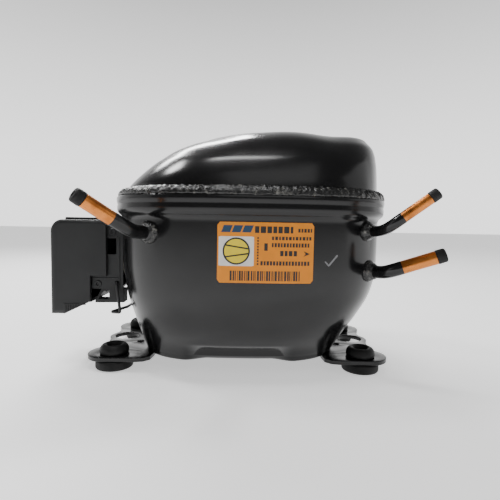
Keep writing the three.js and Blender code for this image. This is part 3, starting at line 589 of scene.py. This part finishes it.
def share_of(levels, z):
    """The share of a table at which its height is z."""
    for k in range(len(levels) - 1):
        if levels[k][0] <= z <= levels[k + 1][0]:
            part = (z - levels[k][0]) / (levels[k + 1][0] - levels[k][0])
            return (k + part) / (len(levels) - 1)
    return 1.0


# The dome's swells and hollows along its length: middle, spread and height.
DOME_SWELLS = [(32, 17, 1.1), (62, 13, -1.2), (-15, 14, -1.1)]
SWELL_FROM = 122
SWELL_FULL = 150


def dome_form(point):
    """The crown is highest a little right of the middle and sinks to a shelf before the right end."""
    swell = 0
    for middle_x, reach, rise in DOME_SWELLS:
        swell += rise * math.exp(-(((point.x - middle_x) / reach) ** 2))
    point.z += ease(point.z, SWELL_FROM, SWELL_FULL) * swell
    return point


def upper_shell():
    inside = [outline(level, -WALL) for level in UPPER_LEVELS[:DOME_INNER_ROWS]]
    rings = inside[::-1]
    for k in range(UPPER_STEPS + 1):
        rings.append(outline(between(UPPER_LEVELS, k / UPPER_STEPS), shift=dome_form))
    return settle(loft("upper_body", rings, PAINT, smooth=60), "shell", "upper_shell")


BEAD_STEPS = 1100
BEAD_SIDES = 14
BEAD_HALF_WIDTH = 3.8
BEAD_HALF_HEIGHT = 1.5
BEAD_LOW_EDGE = (106.9, BODY_LEFT, BODY_RIGHT, BODY_HALF, CORNER)
BEAD_LOW_OUT = 3.4
BEAD_HIGH_EDGE = (112.6, -79.6, 97, 69.8, CORNER)
BEAD_HIGH_OUT = 0.2


def weld_bead():
    """The fillet weld in the corner between the lip and the dome: one rippled, lumpy bead."""
    rings = []
    for i in range(BEAD_STEPS):
        angle = 2 * math.pi * i / BEAD_STEPS
        outer = outline_point(BEAD_LOW_EDGE, angle, BEAD_LOW_OUT)
        inner = outline_point(BEAD_HIGH_EDGE, angle, BEAD_HIGH_OUT)
        centre = (outer + inner) / 2
        slope = (inner - outer).normalized()
        out = Vector((outer.x - BODY_MIDDLE, outer.y * 1.6, 0)).normalized()
        out = (out - slope * out.dot(slope)).normalized()
        ring = []
        for j in range(BEAD_SIDES):
            t = 2 * math.pi * j / BEAD_SIDES
            flat = slope * BEAD_HALF_WIDTH * math.cos(t)
            place = centre + flat + out * BEAD_HALF_HEIGHT * math.sin(t)
            lumps = noise.noise(place * 0.45) * 0.8 + noise.noise(place * 1.3) * 0.5
            edge = slope * 0.4 * noise.noise(place * 0.8 + Vector((9, 9, 9)))
            ring.append(place + out * lumps * max(0.0, math.sin(t)) + edge)
        rings.append(ring)
    return settle(loft("weld_bead", rings, WELD, loop=True, smooth=80), "shell", "weld_seam")


# ------------------------------------------------------------------ base plates and feet
EAR_TIP_X = 103.2
EAR_FRONT_Y = 46.5
EAR_ROUND = 13.0
MID_EAR_X = 88.5
MID_EAR_Y = 6.0
MID_EAR_RADIUS = 13.0
MID_HOLE = 9.0
GROMMET_HOLE = 8.1
SMALL_HOLE = 2.6
SMALL_HOLE_X = 74.0
SMALL_HOLE_OUT = 15.0
PLATE_INNER = 58.0
PLATE_EDGE = 0.45


def plate_outline(side):
    """The pressed plate's edge from the shell out round three ears, drawn for the right and mirrored."""
    corner_x = EAR_TIP_X - EAR_ROUND
    corner_y = EAR_FRONT_Y - EAR_ROUND
    line = [(PLATE_INNER, -33.5), (PLATE_INNER + 1, -41.0), (PLATE_INNER + 5, -44.8), (68.0, -45.8)]
    line += arc(corner_x, -corner_y, EAR_ROUND, -90, 52, 22)
    line += arc(101.5, -16.5, 5.0, 225, 150, 10)
    line += arc(MID_EAR_X, MID_EAR_Y, MID_EAR_RADIUS, -38, 38, 16)
    line += arc(101.8, 22.0, 4.0, 205, 135, 8)
    line += arc(corner_x, corner_y + 3, EAR_ROUND, -38, 90, 22)
    line += [(68.0, 46.5), (62.0, 42.0), (PLATE_INNER, 33.5)]
    return [(side * x, y) for x, y in line]


def base_plate(name, side):
    holes = [circle(side * MID_EAR_X, MID_EAR_Y, MID_HOLE)]
    for end in (-1, 1):
        holes.append(circle(side * MOUNT_X / 2, end * MOUNT_Y / 2, GROMMET_HOLE))
        holes.append(circle(side * SMALL_HOLE_X, MID_EAR_Y + end * SMALL_HOLE_OUT, SMALL_HOLE, 24))
    loops = [plate_outline(side), *holes]
    plate = flat_plate(f"end_plate_{name}", loops, -PLATE_THICK, 0, PLATE_EDGE, PAINT)
    return settle(plate, "shell", f"base_plate_{name}")


GROMMET_PROFILE = [
    (4.3, -9.5), (11.4, -9.5), (12.1, -9.2), (12.45, -8.6), (12.5, -7.8), (12.5, -4.4), (12.3, -3.8),
    (11.8, -3.4), (10.8, -3.2), (7.9, -3.2), (7.9, 0.15), (8.9, 0.15), (9.45, 0.6), (9.7, 1.4),
    (9.7, 2.6), (9.45, 3.8), (8.9, 4.9), (8.1, 5.8), (7.2, 6.3), (6.3, 6.4), (5.5, 6.1), (4.9, 5.4),
    (4.5, 4.4), (4.3, 3.2),
]


def grommet(side_name, end_name):
    place = (SIDES[side_name] * MOUNT_X / 2, ENDS[end_name] * MOUNT_Y / 2, 0)
    node = f"grommet_{side_name}_{end_name}"
    foot = lathe(f"foot_{side_name}_{end_name}", GROMMET_PROFILE, RUBBER, place)
    return settle(foot, "shell", node)


# ------------------------------------------------------------------ tube stubs
def wall_y(x, outward=0.0):
    """Front face of the body wall at x."""
    u = abs(x - BODY_MIDDLE) / ((BODY_RIGHT - BODY_LEFT) / 2)
    return -(BODY_HALF + outward) * (1 - u**CORNER) ** (1 / CORNER)


def wall_normal(x, y):
    a = (BODY_RIGHT - BODY_LEFT) / 2
    u = (x - BODY_MIDDLE) / a
    v = y / BODY_HALF
    power = CORNER - 1
    return Vector((
        math.copysign(abs(u) ** power / a, u),
        math.copysign(abs(v) ** power / BODY_HALF, v),
        0,
    )).normalized()


# x and z of the exit, radius, then the end of the bend and the end of the tube from the exit.
TUBES = {
    "process": ((-55.0, 83.9), 4.0, (-11.9, -27, 6.9), (-23.5, -37, 16.3)),
    "discharge": ((80.8, 86.6), 3.25, (12.2, -22.5, 7.5), (26.1, -26.5, 18.8)),
    "suction": ((84.4, 60.9), 4.0, (11.6, -19.7, 4.2), (29.3, -25.7, 11.2)),
}
TUBE_WALL = 0.9
TUBE_INSIDE = 7.0
BEND_PULL = 0.42
PAINT_PAST_BEND = 0.08
PAINT_COAT = 0.12
BARE_STEPS = 8
TUBE_LONGER = 1.0
PLUG_HEAD = 5.5
PLUG_STEM = 6.0


def braze_collar(name, place, axis, radius):
    def wobble(angle, height):
        around = Vector((math.cos(angle) * 2 + radius, math.sin(angle) * 2, height * 0.5))
        return 0.35 * noise.noise(around)

    grown = [(3.2, -3.0), (3.1, 0.6), (2.5, 1.7), (1.7, 2.3), (1.2, 3.4), (0.7, 4.4), (0.1, 4.8)]
    profile = [(radius + 0.1, -3.0)] + [(radius + out, height) for out, height in grown]
    collar = lathe(f"{name}_braze", profile, WELD, place, axis, 48, wobble=wobble)
    return settle(collar, "shell", f"{name}_collar")


def tube_plug(name, end, ahead, radius):
    stem = radius - TUBE_WALL - 0.3
    head = radius + 0.1
    profile = [
        (0.01, -PLUG_STEM), (stem - 0.6, -PLUG_STEM), (stem, -PLUG_STEM + 0.8), (stem, 0.3), (head, 0.3),
        (head + 0.1, 0.8), (head, PLUG_HEAD - 0.9), (head - 0.3, PLUG_HEAD - 0.3), (head - 0.9, PLUG_HEAD),
        (radius * 0.45, PLUG_HEAD), (radius * 0.4, PLUG_HEAD - 0.5), (0.01, PLUG_HEAD - 0.5),
    ]
    plug = lathe(f"{name}_end_plug", profile, PLUG, end, ahead, 48, loop=False)
    return settle(plug, f"{name}_plug", f"{name}_plug")


def swept(start, out, stop, ahead, steps=28):
    """A smooth bend that leaves one point along one direction and reaches another along a second."""
    pull = (stop - start).length * BEND_PULL
    a, b = start + out * pull, stop - ahead * pull
    line = []
    for i in range(steps + 1):
        t = i / steps
        u = 1 - t
        line.append(start * u**3 + a * 3 * t * u**2 + b * 3 * t**2 * u + stop * t**3)
    return line


def tube_stub(name):
    (x, z), radius, to_bend, to_end = TUBES[name]
    exit_point = Vector((x, wall_y(x), z))
    out = wall_normal(exit_point.x, exit_point.y)
    bend, end = exit_point + Vector(to_bend), exit_point + Vector(to_end)
    ahead = (end - bend).normalized()
    end += ahead * TUBE_LONGER
    split = bend.lerp(end, PAINT_PAST_BEND)
    painted_line = [exit_point - out * TUBE_INSIDE] + swept(exit_point, out, bend, ahead) + [split]
    bare_line = [split.lerp(end, i / BARE_STEPS) for i in range(BARE_STEPS + 1)]
    bare = tube(f"{name}_bare_tube", bare_line, radius, radius - TUBE_WALL, COPPER)
    settle(bare, "shell", f"{name}_tube", slot="copper")
    coat = tube(f"{name}_painted_tube", painted_line, radius + PAINT_COAT, radius - TUBE_WALL, PAINT)
    settle(coat, "shell", slot="black_paint")
    braze_collar(name, exit_point, out, radius)
    tube_plug(name, end, ahead, radius)


# ------------------------------------------------------------------ label
LABEL_LEFT = -12.4
LABEL_RIGHT = 44.5
LABEL_LOW = 55.2
LABEL_HIGH = 91.0


def patch(name, shapes, lift, material, thickness=0.12):
    """Thin printed shapes that follow the wall. Each shape is an outline of x, z points."""
    vertices, faces = [], []
    for shape in shapes:
        start = len(vertices)
        count = len(shape)
        for outward in (lift, lift + thickness):
            vertices += [(x, wall_y(x, outward), z) for x, z in shape]
        faces.append(tuple(start + i for i in range(count)))
        faces.append(tuple(start + count + i for i in range(count)))
        for i in range(count):
            j = (i + 1) % count
            faces.append((start + i, start + j, start + count + j, start + count + i))
    return finish_mesh(name, vertices, faces, material)


def strip_rows(left, right, low, high, radius, columns=40):
    """A rounded rectangle as a row of narrow quads, so that it can follow the curved wall."""
    shapes = []
    edges = [left + (right - left) * i / columns for i in range(columns + 1)]

    def trim(x):
        inset = max(left + radius - x, x - right + radius, 0)
        return radius - math.sqrt(max(radius**2 - inset**2, 0))

    for a, b in zip(edges, edges[1:]):
        shapes.append([(a, low + trim(a)), (b, low + trim(b)), (b, high - trim(b)), (a, high - trim(a))])
    return shapes


def bar(x0, x1, z0, z1, slant=0.0):
    return [(x0, z0), (x1, z0), (x1 + slant, z1), (x0 + slant, z1)]


def dashes(left, right, low, height, lengths, gap=0.55):
    """A line of print as a row of short solid bars of repeating lengths."""
    shapes = []
    x = left
    k = 0
    while x < right - 0.6:
        width = min(lengths[k % len(lengths)], right - x)
        shapes.append(bar(x, x + width, low, low + height))
        x += width + gap
        k += 1
    return shapes


def compressor_sign(cx, cz, radius):
    """The drawing-office sign for a compressor: a ring with two converging lines."""
    shapes = []
    steps = 40
    line = 0.9
    inner = radius - line
    for i in range(steps):
        a, b = 2 * math.pi * i / steps, 2 * math.pi * (i + 1) / steps
        shapes.append([
            (cx + radius * math.cos(a), cz + radius * math.sin(a)),
            (cx + radius * math.cos(b), cz + radius * math.sin(b)),
            (cx + inner * math.cos(b), cz + inner * math.sin(b)),
            (cx + inner * math.cos(a), cz + inner * math.sin(a)),
        ])
    for side in (-1, 1):
        shapes.append([
            (cx - radius * 0.86, cz + side * radius * 0.5),
            (cx - radius * 0.86, cz + side * (radius * 0.5 - line)),
            (cx + radius * 0.96, cz + side * (radius * 0.22 - line)),
            (cx + radius * 0.96, cz + side * radius * 0.22),
        ])
    return shapes


LABEL_ROUND = 1.8
FILM_LIFT = 0.35
FILM_THICK = 0.3
PANEL_THICK = 0.06
PRINT_LIFT = 0.66
DISC_LIFT = 0.73
SIGN_LIFT = 0.8
INK_THICK = 0.05
DISC_RADIUS = 7.6
DISC_WEDGES = 40
SIGN_RADIUS = 8.0

# Lines of print: inset from the label's left and right edges, drop below its top edge, height, the
# lengths of the bars in turn, and the gap between them.
PRINT_LINES = [
    (22, 12.5, 6.2, 3.9, (2.5, 3.1, 2.7, 2.2), 0.8),
    (47.4, 1.2, 5.6, 2.2, (1.3, 1.1, 1.4), 0.6),
    (32, 1.6, 10.2, 2.0, (1.2, 1.6, 1.0, 1.5), 0.7),
    (32, 1.6, 14.4, 2.4, (1.0, 1.3, 1.2), 0.6),
    (37, 9.5, 19.6, 3.1, (1.9, 1.6, 2.1), 0.8),
    (25.5, 1.6, 25.2, 2.5, (1.3, 1.1, 1.4, 1.2), 0.6),
]


def on_label(name, shapes, lift, material, thickness=INK_THICK):
    settle(patch(name, shapes, lift, material, thickness), "shell", slot="label_film")


def disc_wedges(cx, cz):
    """A filled circle as thin wedges, so that it can follow the wall."""
    turns = [2 * math.pi * i / DISC_WEDGES for i in range(DISC_WEDGES + 1)]
    rim = [(cx + DISC_RADIUS * math.cos(t), cz + DISC_RADIUS * math.sin(t)) for t in turns]
    return [[(cx, cz), a, b] for a, b in zip(rim, rim[1:])]


def label_print():
    """Solid bars in place of words, an arrow, a box and a scale."""
    shapes = []
    for from_left, from_right, drop, height, lengths, gap in PRINT_LINES:
        start, stop = LABEL_LEFT + from_left, LABEL_RIGHT - from_right
        shapes += dashes(start, stop, LABEL_HIGH - drop, height, lengths, gap)
    arrow = [(6.0, 19.8), (2.2, 18.2), (6.0, 16.6), (4.8, 18.2)]
    shapes.append([(LABEL_RIGHT - x, LABEL_HIGH - z) for x, z in arrow])
    shapes.append(bar(LABEL_LEFT + 27.6, LABEL_LEFT + 29.6, LABEL_HIGH - 16.6, LABEL_HIGH - 12.2))
    for i in range(10):
        mark = LABEL_HIGH - 25 + 1.7 * i
        shapes.append(bar(LABEL_LEFT + 23.4, LABEL_LEFT + 24.3, mark, mark + 1.1))
    return shapes


def made_up_code():
    """Upright bars whose widths and gaps repeat by a rule, so that they read as no code."""
    shapes = []
    x = LABEL_LEFT + 7.5
    k = 0
    while x < LABEL_RIGHT - 8.5:
        width = 0.35 + 0.28 * ((k * 7 + 3) % 4)
        shapes.append(bar(x, x + width, LABEL_LOW + 1.4, LABEL_LOW + 7.2))
        x += width + 0.35 + 0.22 * ((k * 5 + 1) % 3)
        k += 1
    return shapes


def label():
    sheet = strip_rows(LABEL_LEFT, LABEL_RIGHT, LABEL_LOW, LABEL_HIGH, LABEL_ROUND)
    film = finish_strip("label_film", sheet, FILM_LIFT, FILM_THICK, LABEL)
    settle(film, "shell", "rating_label", slot="label_film")
    sheet = strip_rows(LABEL_LEFT + 0.8, LABEL_LEFT + 21.5, LABEL_LOW + 10.0, LABEL_HIGH - 8.4, 0.3, 16)
    panel = finish_strip("label_panel", sheet, PRINT_LIFT, PANEL_THICK, LABEL_WHITE)
    settle(panel, "shell", slot="label_film")
    cx, cz = LABEL_LEFT + 11.2, LABEL_LOW + 18.8
    on_label("label_disc", disc_wedges(cx, cz), DISC_LIFT, LABEL_YELLOW)
    on_label("label_sign", compressor_sign(cx, cz, SIGN_RADIUS), SIGN_LIFT, LABEL_INK)
    on_label("label_print", label_print(), PRINT_LIFT, LABEL_INK)
    blocks = []
    for i in range(3):
        start = LABEL_LEFT + 2.2 + 6.1 * i
        blocks.append(bar(start, start + 5.2, LABEL_HIGH - 6.0, LABEL_HIGH - 1.9, 1.6))
    on_label("label_blocks", blocks, PRINT_LIFT, LABEL_BLUE)
    on_label("label_code", made_up_code(), PRINT_LIFT, LABEL_INK)


def finish_strip(name, shapes, lift, thickness, material):
    """Quads side by side, welded into one curved sheet without the walls between them."""
    sheet = patch(name, shapes, lift, material, thickness)
    left = mm(shapes[0][0][0], 0, 0).x
    right = mm(shapes[-1][1][0], 0, 0).x
    end_margin = 0.001

    def between_quads(face):
        inside = left + end_margin < face.calc_center_median().x < right - end_margin
        return inside and len(face.verts) == 4 and abs(face.normal.x) > 0.9

    bm = bmesh.new()
    bm.from_mesh(sheet.data)
    bmesh.ops.remove_doubles(bm, verts=bm.verts, dist=1e-6)
    bmesh.ops.delete(bm, geom=[face for face in bm.faces if between_quads(face)], context="FACES_ONLY")
    bmesh.ops.recalc_face_normals(bm, faces=bm.faces)
    bm.to_mesh(sheet.data)
    bm.free()
    return sheet


def inspection_mark():
    """A chalked tick where the works marks a tested shell."""
    long_stroke = [(54.0, 66.2), (54.9, 65.4), (60.2, 71.6), (59.4, 72.3)]
    short_stroke = [(52.3, 68.6), (51.6, 68.0), (54.0, 65.2), (54.8, 65.7)]
    settle(patch("inspection_tick", [long_stroke, short_stroke], 0.1, CHALK, INK_THICK), "shell")


# ------------------------------------------------------------------ terminal box
BOX_HALF = 35.0
FENCE_HALF = 32.0
PIVOT_X = -84.0
PIVOT_Z = 48.0
BOX_LEFT = -128.4
BOX_LOW = 26.2
BOX_HIGH = 91.0
BOX_ROUND = 8.0
BOX_WALL = 2.0
EDGE_ROUND = 2.7
CRISP_SHARE = 0.12
SLOPE_START = -119.5
SLOPE_END = -102.5
SLOPE_RISE = 8.4
STEP_X = -101.3
NECK_X = -90.3
NECK_LOW = 52.7
OPEN_END_X = -70
RIB_COUNT = 9
RIB_START = -118.6
RIB_STEP = 1.6
RIB_WIDTH = 0.7
RIB_TOP = BOX_LOW + 6.6
RIB_FLOOR_SLOPE = 0.494
RIB_LEAST_HEIGHT = 0.6
RIB_PROUD = 0.45
BURIED = 0.2


def cover_outline(inset=0.0):
    """The cover's side view. With an inset it is the hollow, run out past the open end."""
    floor_z = BOX_LOW + SLOPE_RISE
    low = [
        (BOX_LEFT + inset, BOX_LOW + inset),
        (SLOPE_START, BOX_LOW + inset),
        (SLOPE_END, floor_z + inset),
    ]
    if inset:
        right = [(OPEN_END_X, floor_z + inset), (OPEN_END_X, BOX_HIGH - inset)]
    else:
        right = [(STEP_X, floor_z), (STEP_X, NECK_LOW), (NECK_X, NECK_LOW), (NECK_X, 87), (-94.3, BOX_HIGH)]
    corner = arc(BOX_LEFT + BOX_ROUND, BOX_HIGH - BOX_ROUND, BOX_ROUND - inset, 90, 180, 14)
    return low + right + corner


def prism(name, points, y0, y1, material):
    """An x, z outline pushed from one y to another."""
    count = len(points)
    vertices = [(x, y0, z) for x, z in points] + [(x, y1, z) for x, z in points]
    faces = [tuple(range(count)), tuple(range(count, 2 * count))]
    for i in range(count):
        j = (i + 1) % count
        faces.append((i, j, count + j, count + i))
    return finish_mesh(name, vertices, faces, material, 30)


def cut_away(obj, cutter):
    """Applies a boolean difference, then drops the cutter."""
    tool = obj.modifiers.new("cut", "BOOLEAN")
    tool.object = cutter
    tool.operation = "DIFFERENCE"
    tool.solver = "EXACT"
    bpy.context.view_layer.update()
    made = obj.evaluated_get(bpy.context.evaluated_depsgraph_get())
    mesh = bpy.data.meshes.new_from_object(made)
    obj.modifiers.clear()
    obj.data = mesh
    bpy.data.objects.remove(cutter)
    return obj


def round_by_place(obj, width, share_of_edge):
    """Bevels each edge by a share of one width, from a function of the edge's two ends in millimetres."""
    mesh = obj.data
    weight = mesh.attributes.new("bevel_weight_edge", "FLOAT", "EDGE")
    for edge in mesh.edges:
        ends = [(mesh.vertices[v].co - ORIGIN) * 1000 for v in edge.vertices]
        weight.data[edge.index].value = share_of_edge(*ends)
    bevel = obj.modifiers.new("edges", "BEVEL")
    bevel.limit_method = "WEIGHT"
    bevel.width = width / 1000
    bevel.segments = 5
    return obj


def cover_edge(a, b):
    """The outer edges of the two end faces are generously round and the steps by the fence are crisp."""
    on_end = abs(abs(a.y) - BOX_HALF) < 0.01 and abs(a.y - b.y) < 0.01
    rightmost, highest = max(a.x, b.x), max(a.z, b.z)
    by_fence = rightmost > SLOPE_END - 0.1 and highest < 80
    if on_end and rightmost < -94 and not by_fence:
        return 1.0
    return CRISP_SHARE if on_end else 0.0


def terminal_cover():
    cover = prism("terminal_box_cover", cover_outline(), -BOX_HALF, BOX_HALF, PLASTIC)
    inside = BOX_HALF - BOX_WALL
    cut_away(cover, prism("cover_inside", cover_outline(BOX_WALL), -inside, inside, PLASTIC))
    cover.data.set_sharp_from_angle(angle=math.radians(30))
    round_by_place(cover, EDGE_ROUND, cover_edge)
    settle(cover, "cover", "terminal_cover")
    ridge = [(-120, 90.4), (-94.7, 90.4), (-94.7, 92.2), (-95.1, 92.6), (-119.4, 92.6), (-120, 92)]
    settle(bevelled(prism("cover_ridge", ridge, -30, 30, PLASTIC), 0.3, 2), "cover", slot="dark_plastic")
    face = -BOX_HALF
    for k in range(RIB_COUNT):
        x = RIB_START + RIB_STEP * k
        base = BOX_LOW + 0.8 + max(0.0, x - SLOPE_START) * RIB_FLOOR_SLOPE
        if RIB_TOP - base > RIB_LEAST_HEIGHT:
            rib = [(x, base), (x + RIB_WIDTH, base + 0.35), (x + RIB_WIDTH, RIB_TOP), (x, RIB_TOP)]
            piece = prism(f"cover_rib_{k}", rib, face - RIB_PROUD, face + BURIED, PLASTIC)
            settle(piece, "cover", slot="dark_plastic")
    frame_bar = bar(-119.6, -104.4, RIB_TOP, RIB_TOP + 0.7)
    edge_bar = prism("cover_rib_frame", frame_bar, face - 0.5, face + BURIED, PLASTIC)
    settle(edge_bar, "cover", slot="dark_plastic")


def fence_details():
    """The screw boss in the fence's lower band, the boss by the cover's cut corner and the trims."""
    front = -FENCE_HALF
    boss = [(1.1, 0), (2.5, 0), (2.5, 0.5), (2.2, 0.8), (1.3, 0.8), (1.1, 0.5)]
    turned_boss = lathe("fence_screw_boss", boss, PLASTIC, (-97, front + 0.1, 47), (0, -1, 0), 40)
    settle(turned_boss, "shell", slot="dark_plastic")
    small = lathe("fence_corner_boss", boss, STEEL_PAINT, (-86.8, front + 0.1, 83), (0, -1, 0), 40)
    settle(small, "shell", slot="dark_plastic")
    for name, x0, x1, z0, z1 in (
        ("fence_window_bar", -91.4, -83.4, 79.2, 80.2),
        ("fence_edge_bar", -82.6, -81.9, 46, 79.6),
        ("fence_band_bar", -100.6, -82.6, 50.6, 51.4),
    ):
        strip = prism(name, bar(x0, x1, z0, z1), front - 0.5, front + BURIED, PLASTIC)
        piece = bevelled(strip, 0.15, 2)
        settle(piece, "shell", slot="dark_plastic")


def bail():
    """Two legs on pivots in the fence, joined by a bar that bends out into two finger grips."""
    reach = FENCE_HALF + 1.6
    low = 27.5
    half = [
        (0, FENCE_HALF - 3.5, PIVOT_Z),
        (0, reach, PIVOT_Z),
        (2.6, reach, low),
        (-4.6, reach - 3.6, low - 0.4),
        (1.4, 12, low - 0.4),
    ]
    corners = [(PIVOT_X + x, y, z) for x, y, z in half] + [(PIVOT_X + x, -y, z) for x, y, z in half[::-1]]
    settle(wire("wire_bail", bent_line(corners, 1.8, 8), 1.0, STEEL_PAINT), "bail", "bail_clip")


# ------------------------------------------------------------------ suspension springs
SPRING_WIRE = 1.0
SPRING_TURNS = 5
SPRING_STEPS = 36


def suspension_spring(side_name, end_name):
    """A coil between the shell's peg and the stator."""
    node = f"spring_{side_name}_{end_name}"
    low, high = [(corner - ORIGIN) * 1000 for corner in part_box(node)]
    centre = (low + high) / 2
    radius = (high.x - low.x) / 2 - SPRING_WIRE
    foot, top = low.z + SPRING_WIRE, high.z - SPRING_WIRE
    line = []
    for i in range(SPRING_TURNS * SPRING_STEPS + 1):
        share = i / (SPRING_TURNS * SPRING_STEPS)
        angle = 2 * math.pi * SPRING_TURNS * share
        place = (centre.x + radius * math.cos(angle), centre.y + radius * math.sin(angle))
        line.append(Vector((*place, foot + (top - foot) * share)))
    spring = wire(f"coil_{side_name}_{end_name}", line, SPRING_WIRE, SLOT_LOOKS["bare_steel"], 10)
    settle(spring, "shell", node)
    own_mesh(spring)


# ------------------------------------------------------------------ stage, light and camera
CAMERA_PLACE = (4.32, -297.12, 89.85)
CAMERA_YAW = 0.639
CAMERA_PITCH = 3.833
CAMERA_ROLL = 1.008
CAMERA_LENS = 27.8
SENSOR = 36.0


def camera():
    data = bpy.data.cameras.new("photo_view")
    data.sensor_width = SENSOR
    data.lens = CAMERA_LENS
    data.clip_start = 0.01
    obj = bpy.data.objects.new("photo_view", data)
    bpy.context.scene.collection.objects.link(obj)
    yaw, pitch, roll = (math.radians(v) for v in (CAMERA_YAW, CAMERA_PITCH, CAMERA_ROLL))
    ahead = Vector((math.sin(yaw) * math.cos(pitch), math.cos(yaw) * math.cos(pitch), -math.sin(pitch)))
    right = Vector((math.cos(yaw), -math.sin(yaw), 0))
    up = right.cross(ahead)
    turned_right = right * math.cos(roll) + up * math.sin(roll)
    turned_up = up * math.cos(roll) - right * math.sin(roll)
    turn = Matrix((turned_right, turned_up, -ahead)).transposed()
    obj.matrix_world = Matrix.Translation(mm(*CAMERA_PLACE)) @ turn.to_4x4()
    bpy.context.scene.camera = obj


FLOOR_HALF = 6.0
FLOOR_GAP = 0.0005
FLOOR_GLOW = 0.7


def floor():
    """A light table: a pale floor with a little light of its own, so that no hard shadow falls on it."""
    mesh = bpy.data.meshes.new("floor")
    corners = [(-1, -1), (1, -1), (1, 1), (-1, 1)]
    mesh.from_pydata([(FLOOR_HALF * x, FLOOR_HALF * y, -FLOOR_GAP) for x, y in corners], [], [(0, 1, 2, 3)])
    material = node_material("floor_white", (0.9, 0.9, 0.9), 0.7, Emission_Strength=FLOOR_GLOW)
    material.node_tree.nodes["Principled BSDF"].inputs["Emission Color"].default_value = (1, 1, 1, 1)
    vary_rough(material, 3, 0.65, 0.75)
    mesh.materials.append(material)
    obj = bpy.data.objects.new("floor", mesh)
    bpy.context.scene.collection.objects.link(obj)


def softbox(name, place, target, width, height, power):
    data = bpy.data.lights.new(name, "AREA")
    data.shape = "RECTANGLE"
    data.size = width
    data.size_y = height
    data.energy = power
    obj = bpy.data.objects.new(name, data)
    bpy.context.scene.collection.objects.link(obj)
    place, target = Vector(place), Vector(target)
    turn = (target - place).to_track_quat("-Z", "Y").to_matrix()
    obj.matrix_world = Matrix.Translation(place) @ turn.to_4x4()


WORLD_BACK = 1.8
WORLD_FRONT = 0.13
WORLD_OVERHEAD = 0.06


def world():
    """A pale backdrop that is dim overhead and in front, so the black paint has something dark to mirror."""
    scene_world = bpy.data.worlds.new("studio")
    bpy.context.scene.world = scene_world
    scene_world.use_nodes = True
    nodes, links = scene_world.node_tree.nodes, scene_world.node_tree.links
    place = nodes.new("ShaderNodeTexCoord")
    split = nodes.new("ShaderNodeSeparateXYZ")
    links.new(place.outputs["Generated"], split.inputs["Vector"])

    def ramp(axis, start, stop, low, high):
        node = nodes.new("ShaderNodeMapRange")
        node.interpolation_type = "SMOOTHSTEP"
        node.inputs["From Min"].default_value = start
        node.inputs["From Max"].default_value = stop
        node.inputs["To Min"].default_value = low
        node.inputs["To Max"].default_value = high
        links.new(split.outputs[axis], node.inputs["Value"])
        return node.outputs["Result"]

    strength = nodes.new("ShaderNodeMath")
    strength.operation = "MULTIPLY_ADD"
    links.new(ramp("Y", 0.0, 0.8, 0.0, WORLD_BACK), strength.inputs[0])
    links.new(ramp("Z", 0.05, 0.8, 1.0, WORLD_OVERHEAD), strength.inputs[1])
    strength.inputs[2].default_value = WORLD_FRONT
    links.new(strength.outputs["Value"], nodes["Background"].inputs["Strength"])
    nodes["Background"].inputs["Color"].default_value = (1, 1, 1, 1)


DOME_AIM_Z = 130
WALL_AIM_Z = 90
WALL_SIZE = 1.2
WALL_POWER = 3

# Softboxes about the dome: compass direction (0 behind, negative to the left) and elevation in degrees,
# length and width in metres, power in watts and distance in metres.
STRIPS = {
    "crest_strip": (-26, 42, 0.66, 0.13, 10, 1.0),
    "crown_strip": (-150, 78, 0.42, 0.1, 3.0, 1.0),
    "left_patch": (-80, 54, 0.2, 0.14, 3.2, 1.0),
    "front_fill": (168, 40, 0.9, 0.9, 2.2, 1.4),
}


def lights():
    aim = mm(0, 0, DOME_AIM_Z)
    for name, (azimuth, elevation, length, width, power, distance) in STRIPS.items():
        a, e = math.radians(azimuth), math.radians(elevation)
        ahead = Vector((math.sin(a) * math.cos(e), math.cos(a) * math.cos(e), math.sin(e)))
        softbox(name, aim + ahead * distance, aim, length, width, power)
    aim = mm(0, 0, WALL_AIM_Z)
    for side_name, side in SIDES.items():
        softbox(f"{side_name}_wall", mm(side * 1300, -100, 300), aim, WALL_SIZE, WALL_SIZE, WALL_POWER)


# ------------------------------------------------------------------ build
camera()
floor()
world()
lights()
dress_cad_nodes()

lower_shell()
upper_shell()
weld_bead()
for name, side in SIDES.items():
    base_plate(name, side)
    for end in ENDS:
        grommet(name, end)
        suspension_spring(name, end)
for name in TUBES:
    tube_stub(name)
label()
inspection_mark()
terminal_cover()
fence_details()
bail()
softened("terminal_fence", "terminal_fence_frame", 0.4, PLASTIC, "shell")
softened("cord_clamp", "cord_clamp_strap", 0.4, PLASTIC, "shell")
softened("starter_relay", "relay_case", 0.6, PLASTIC, "shell")
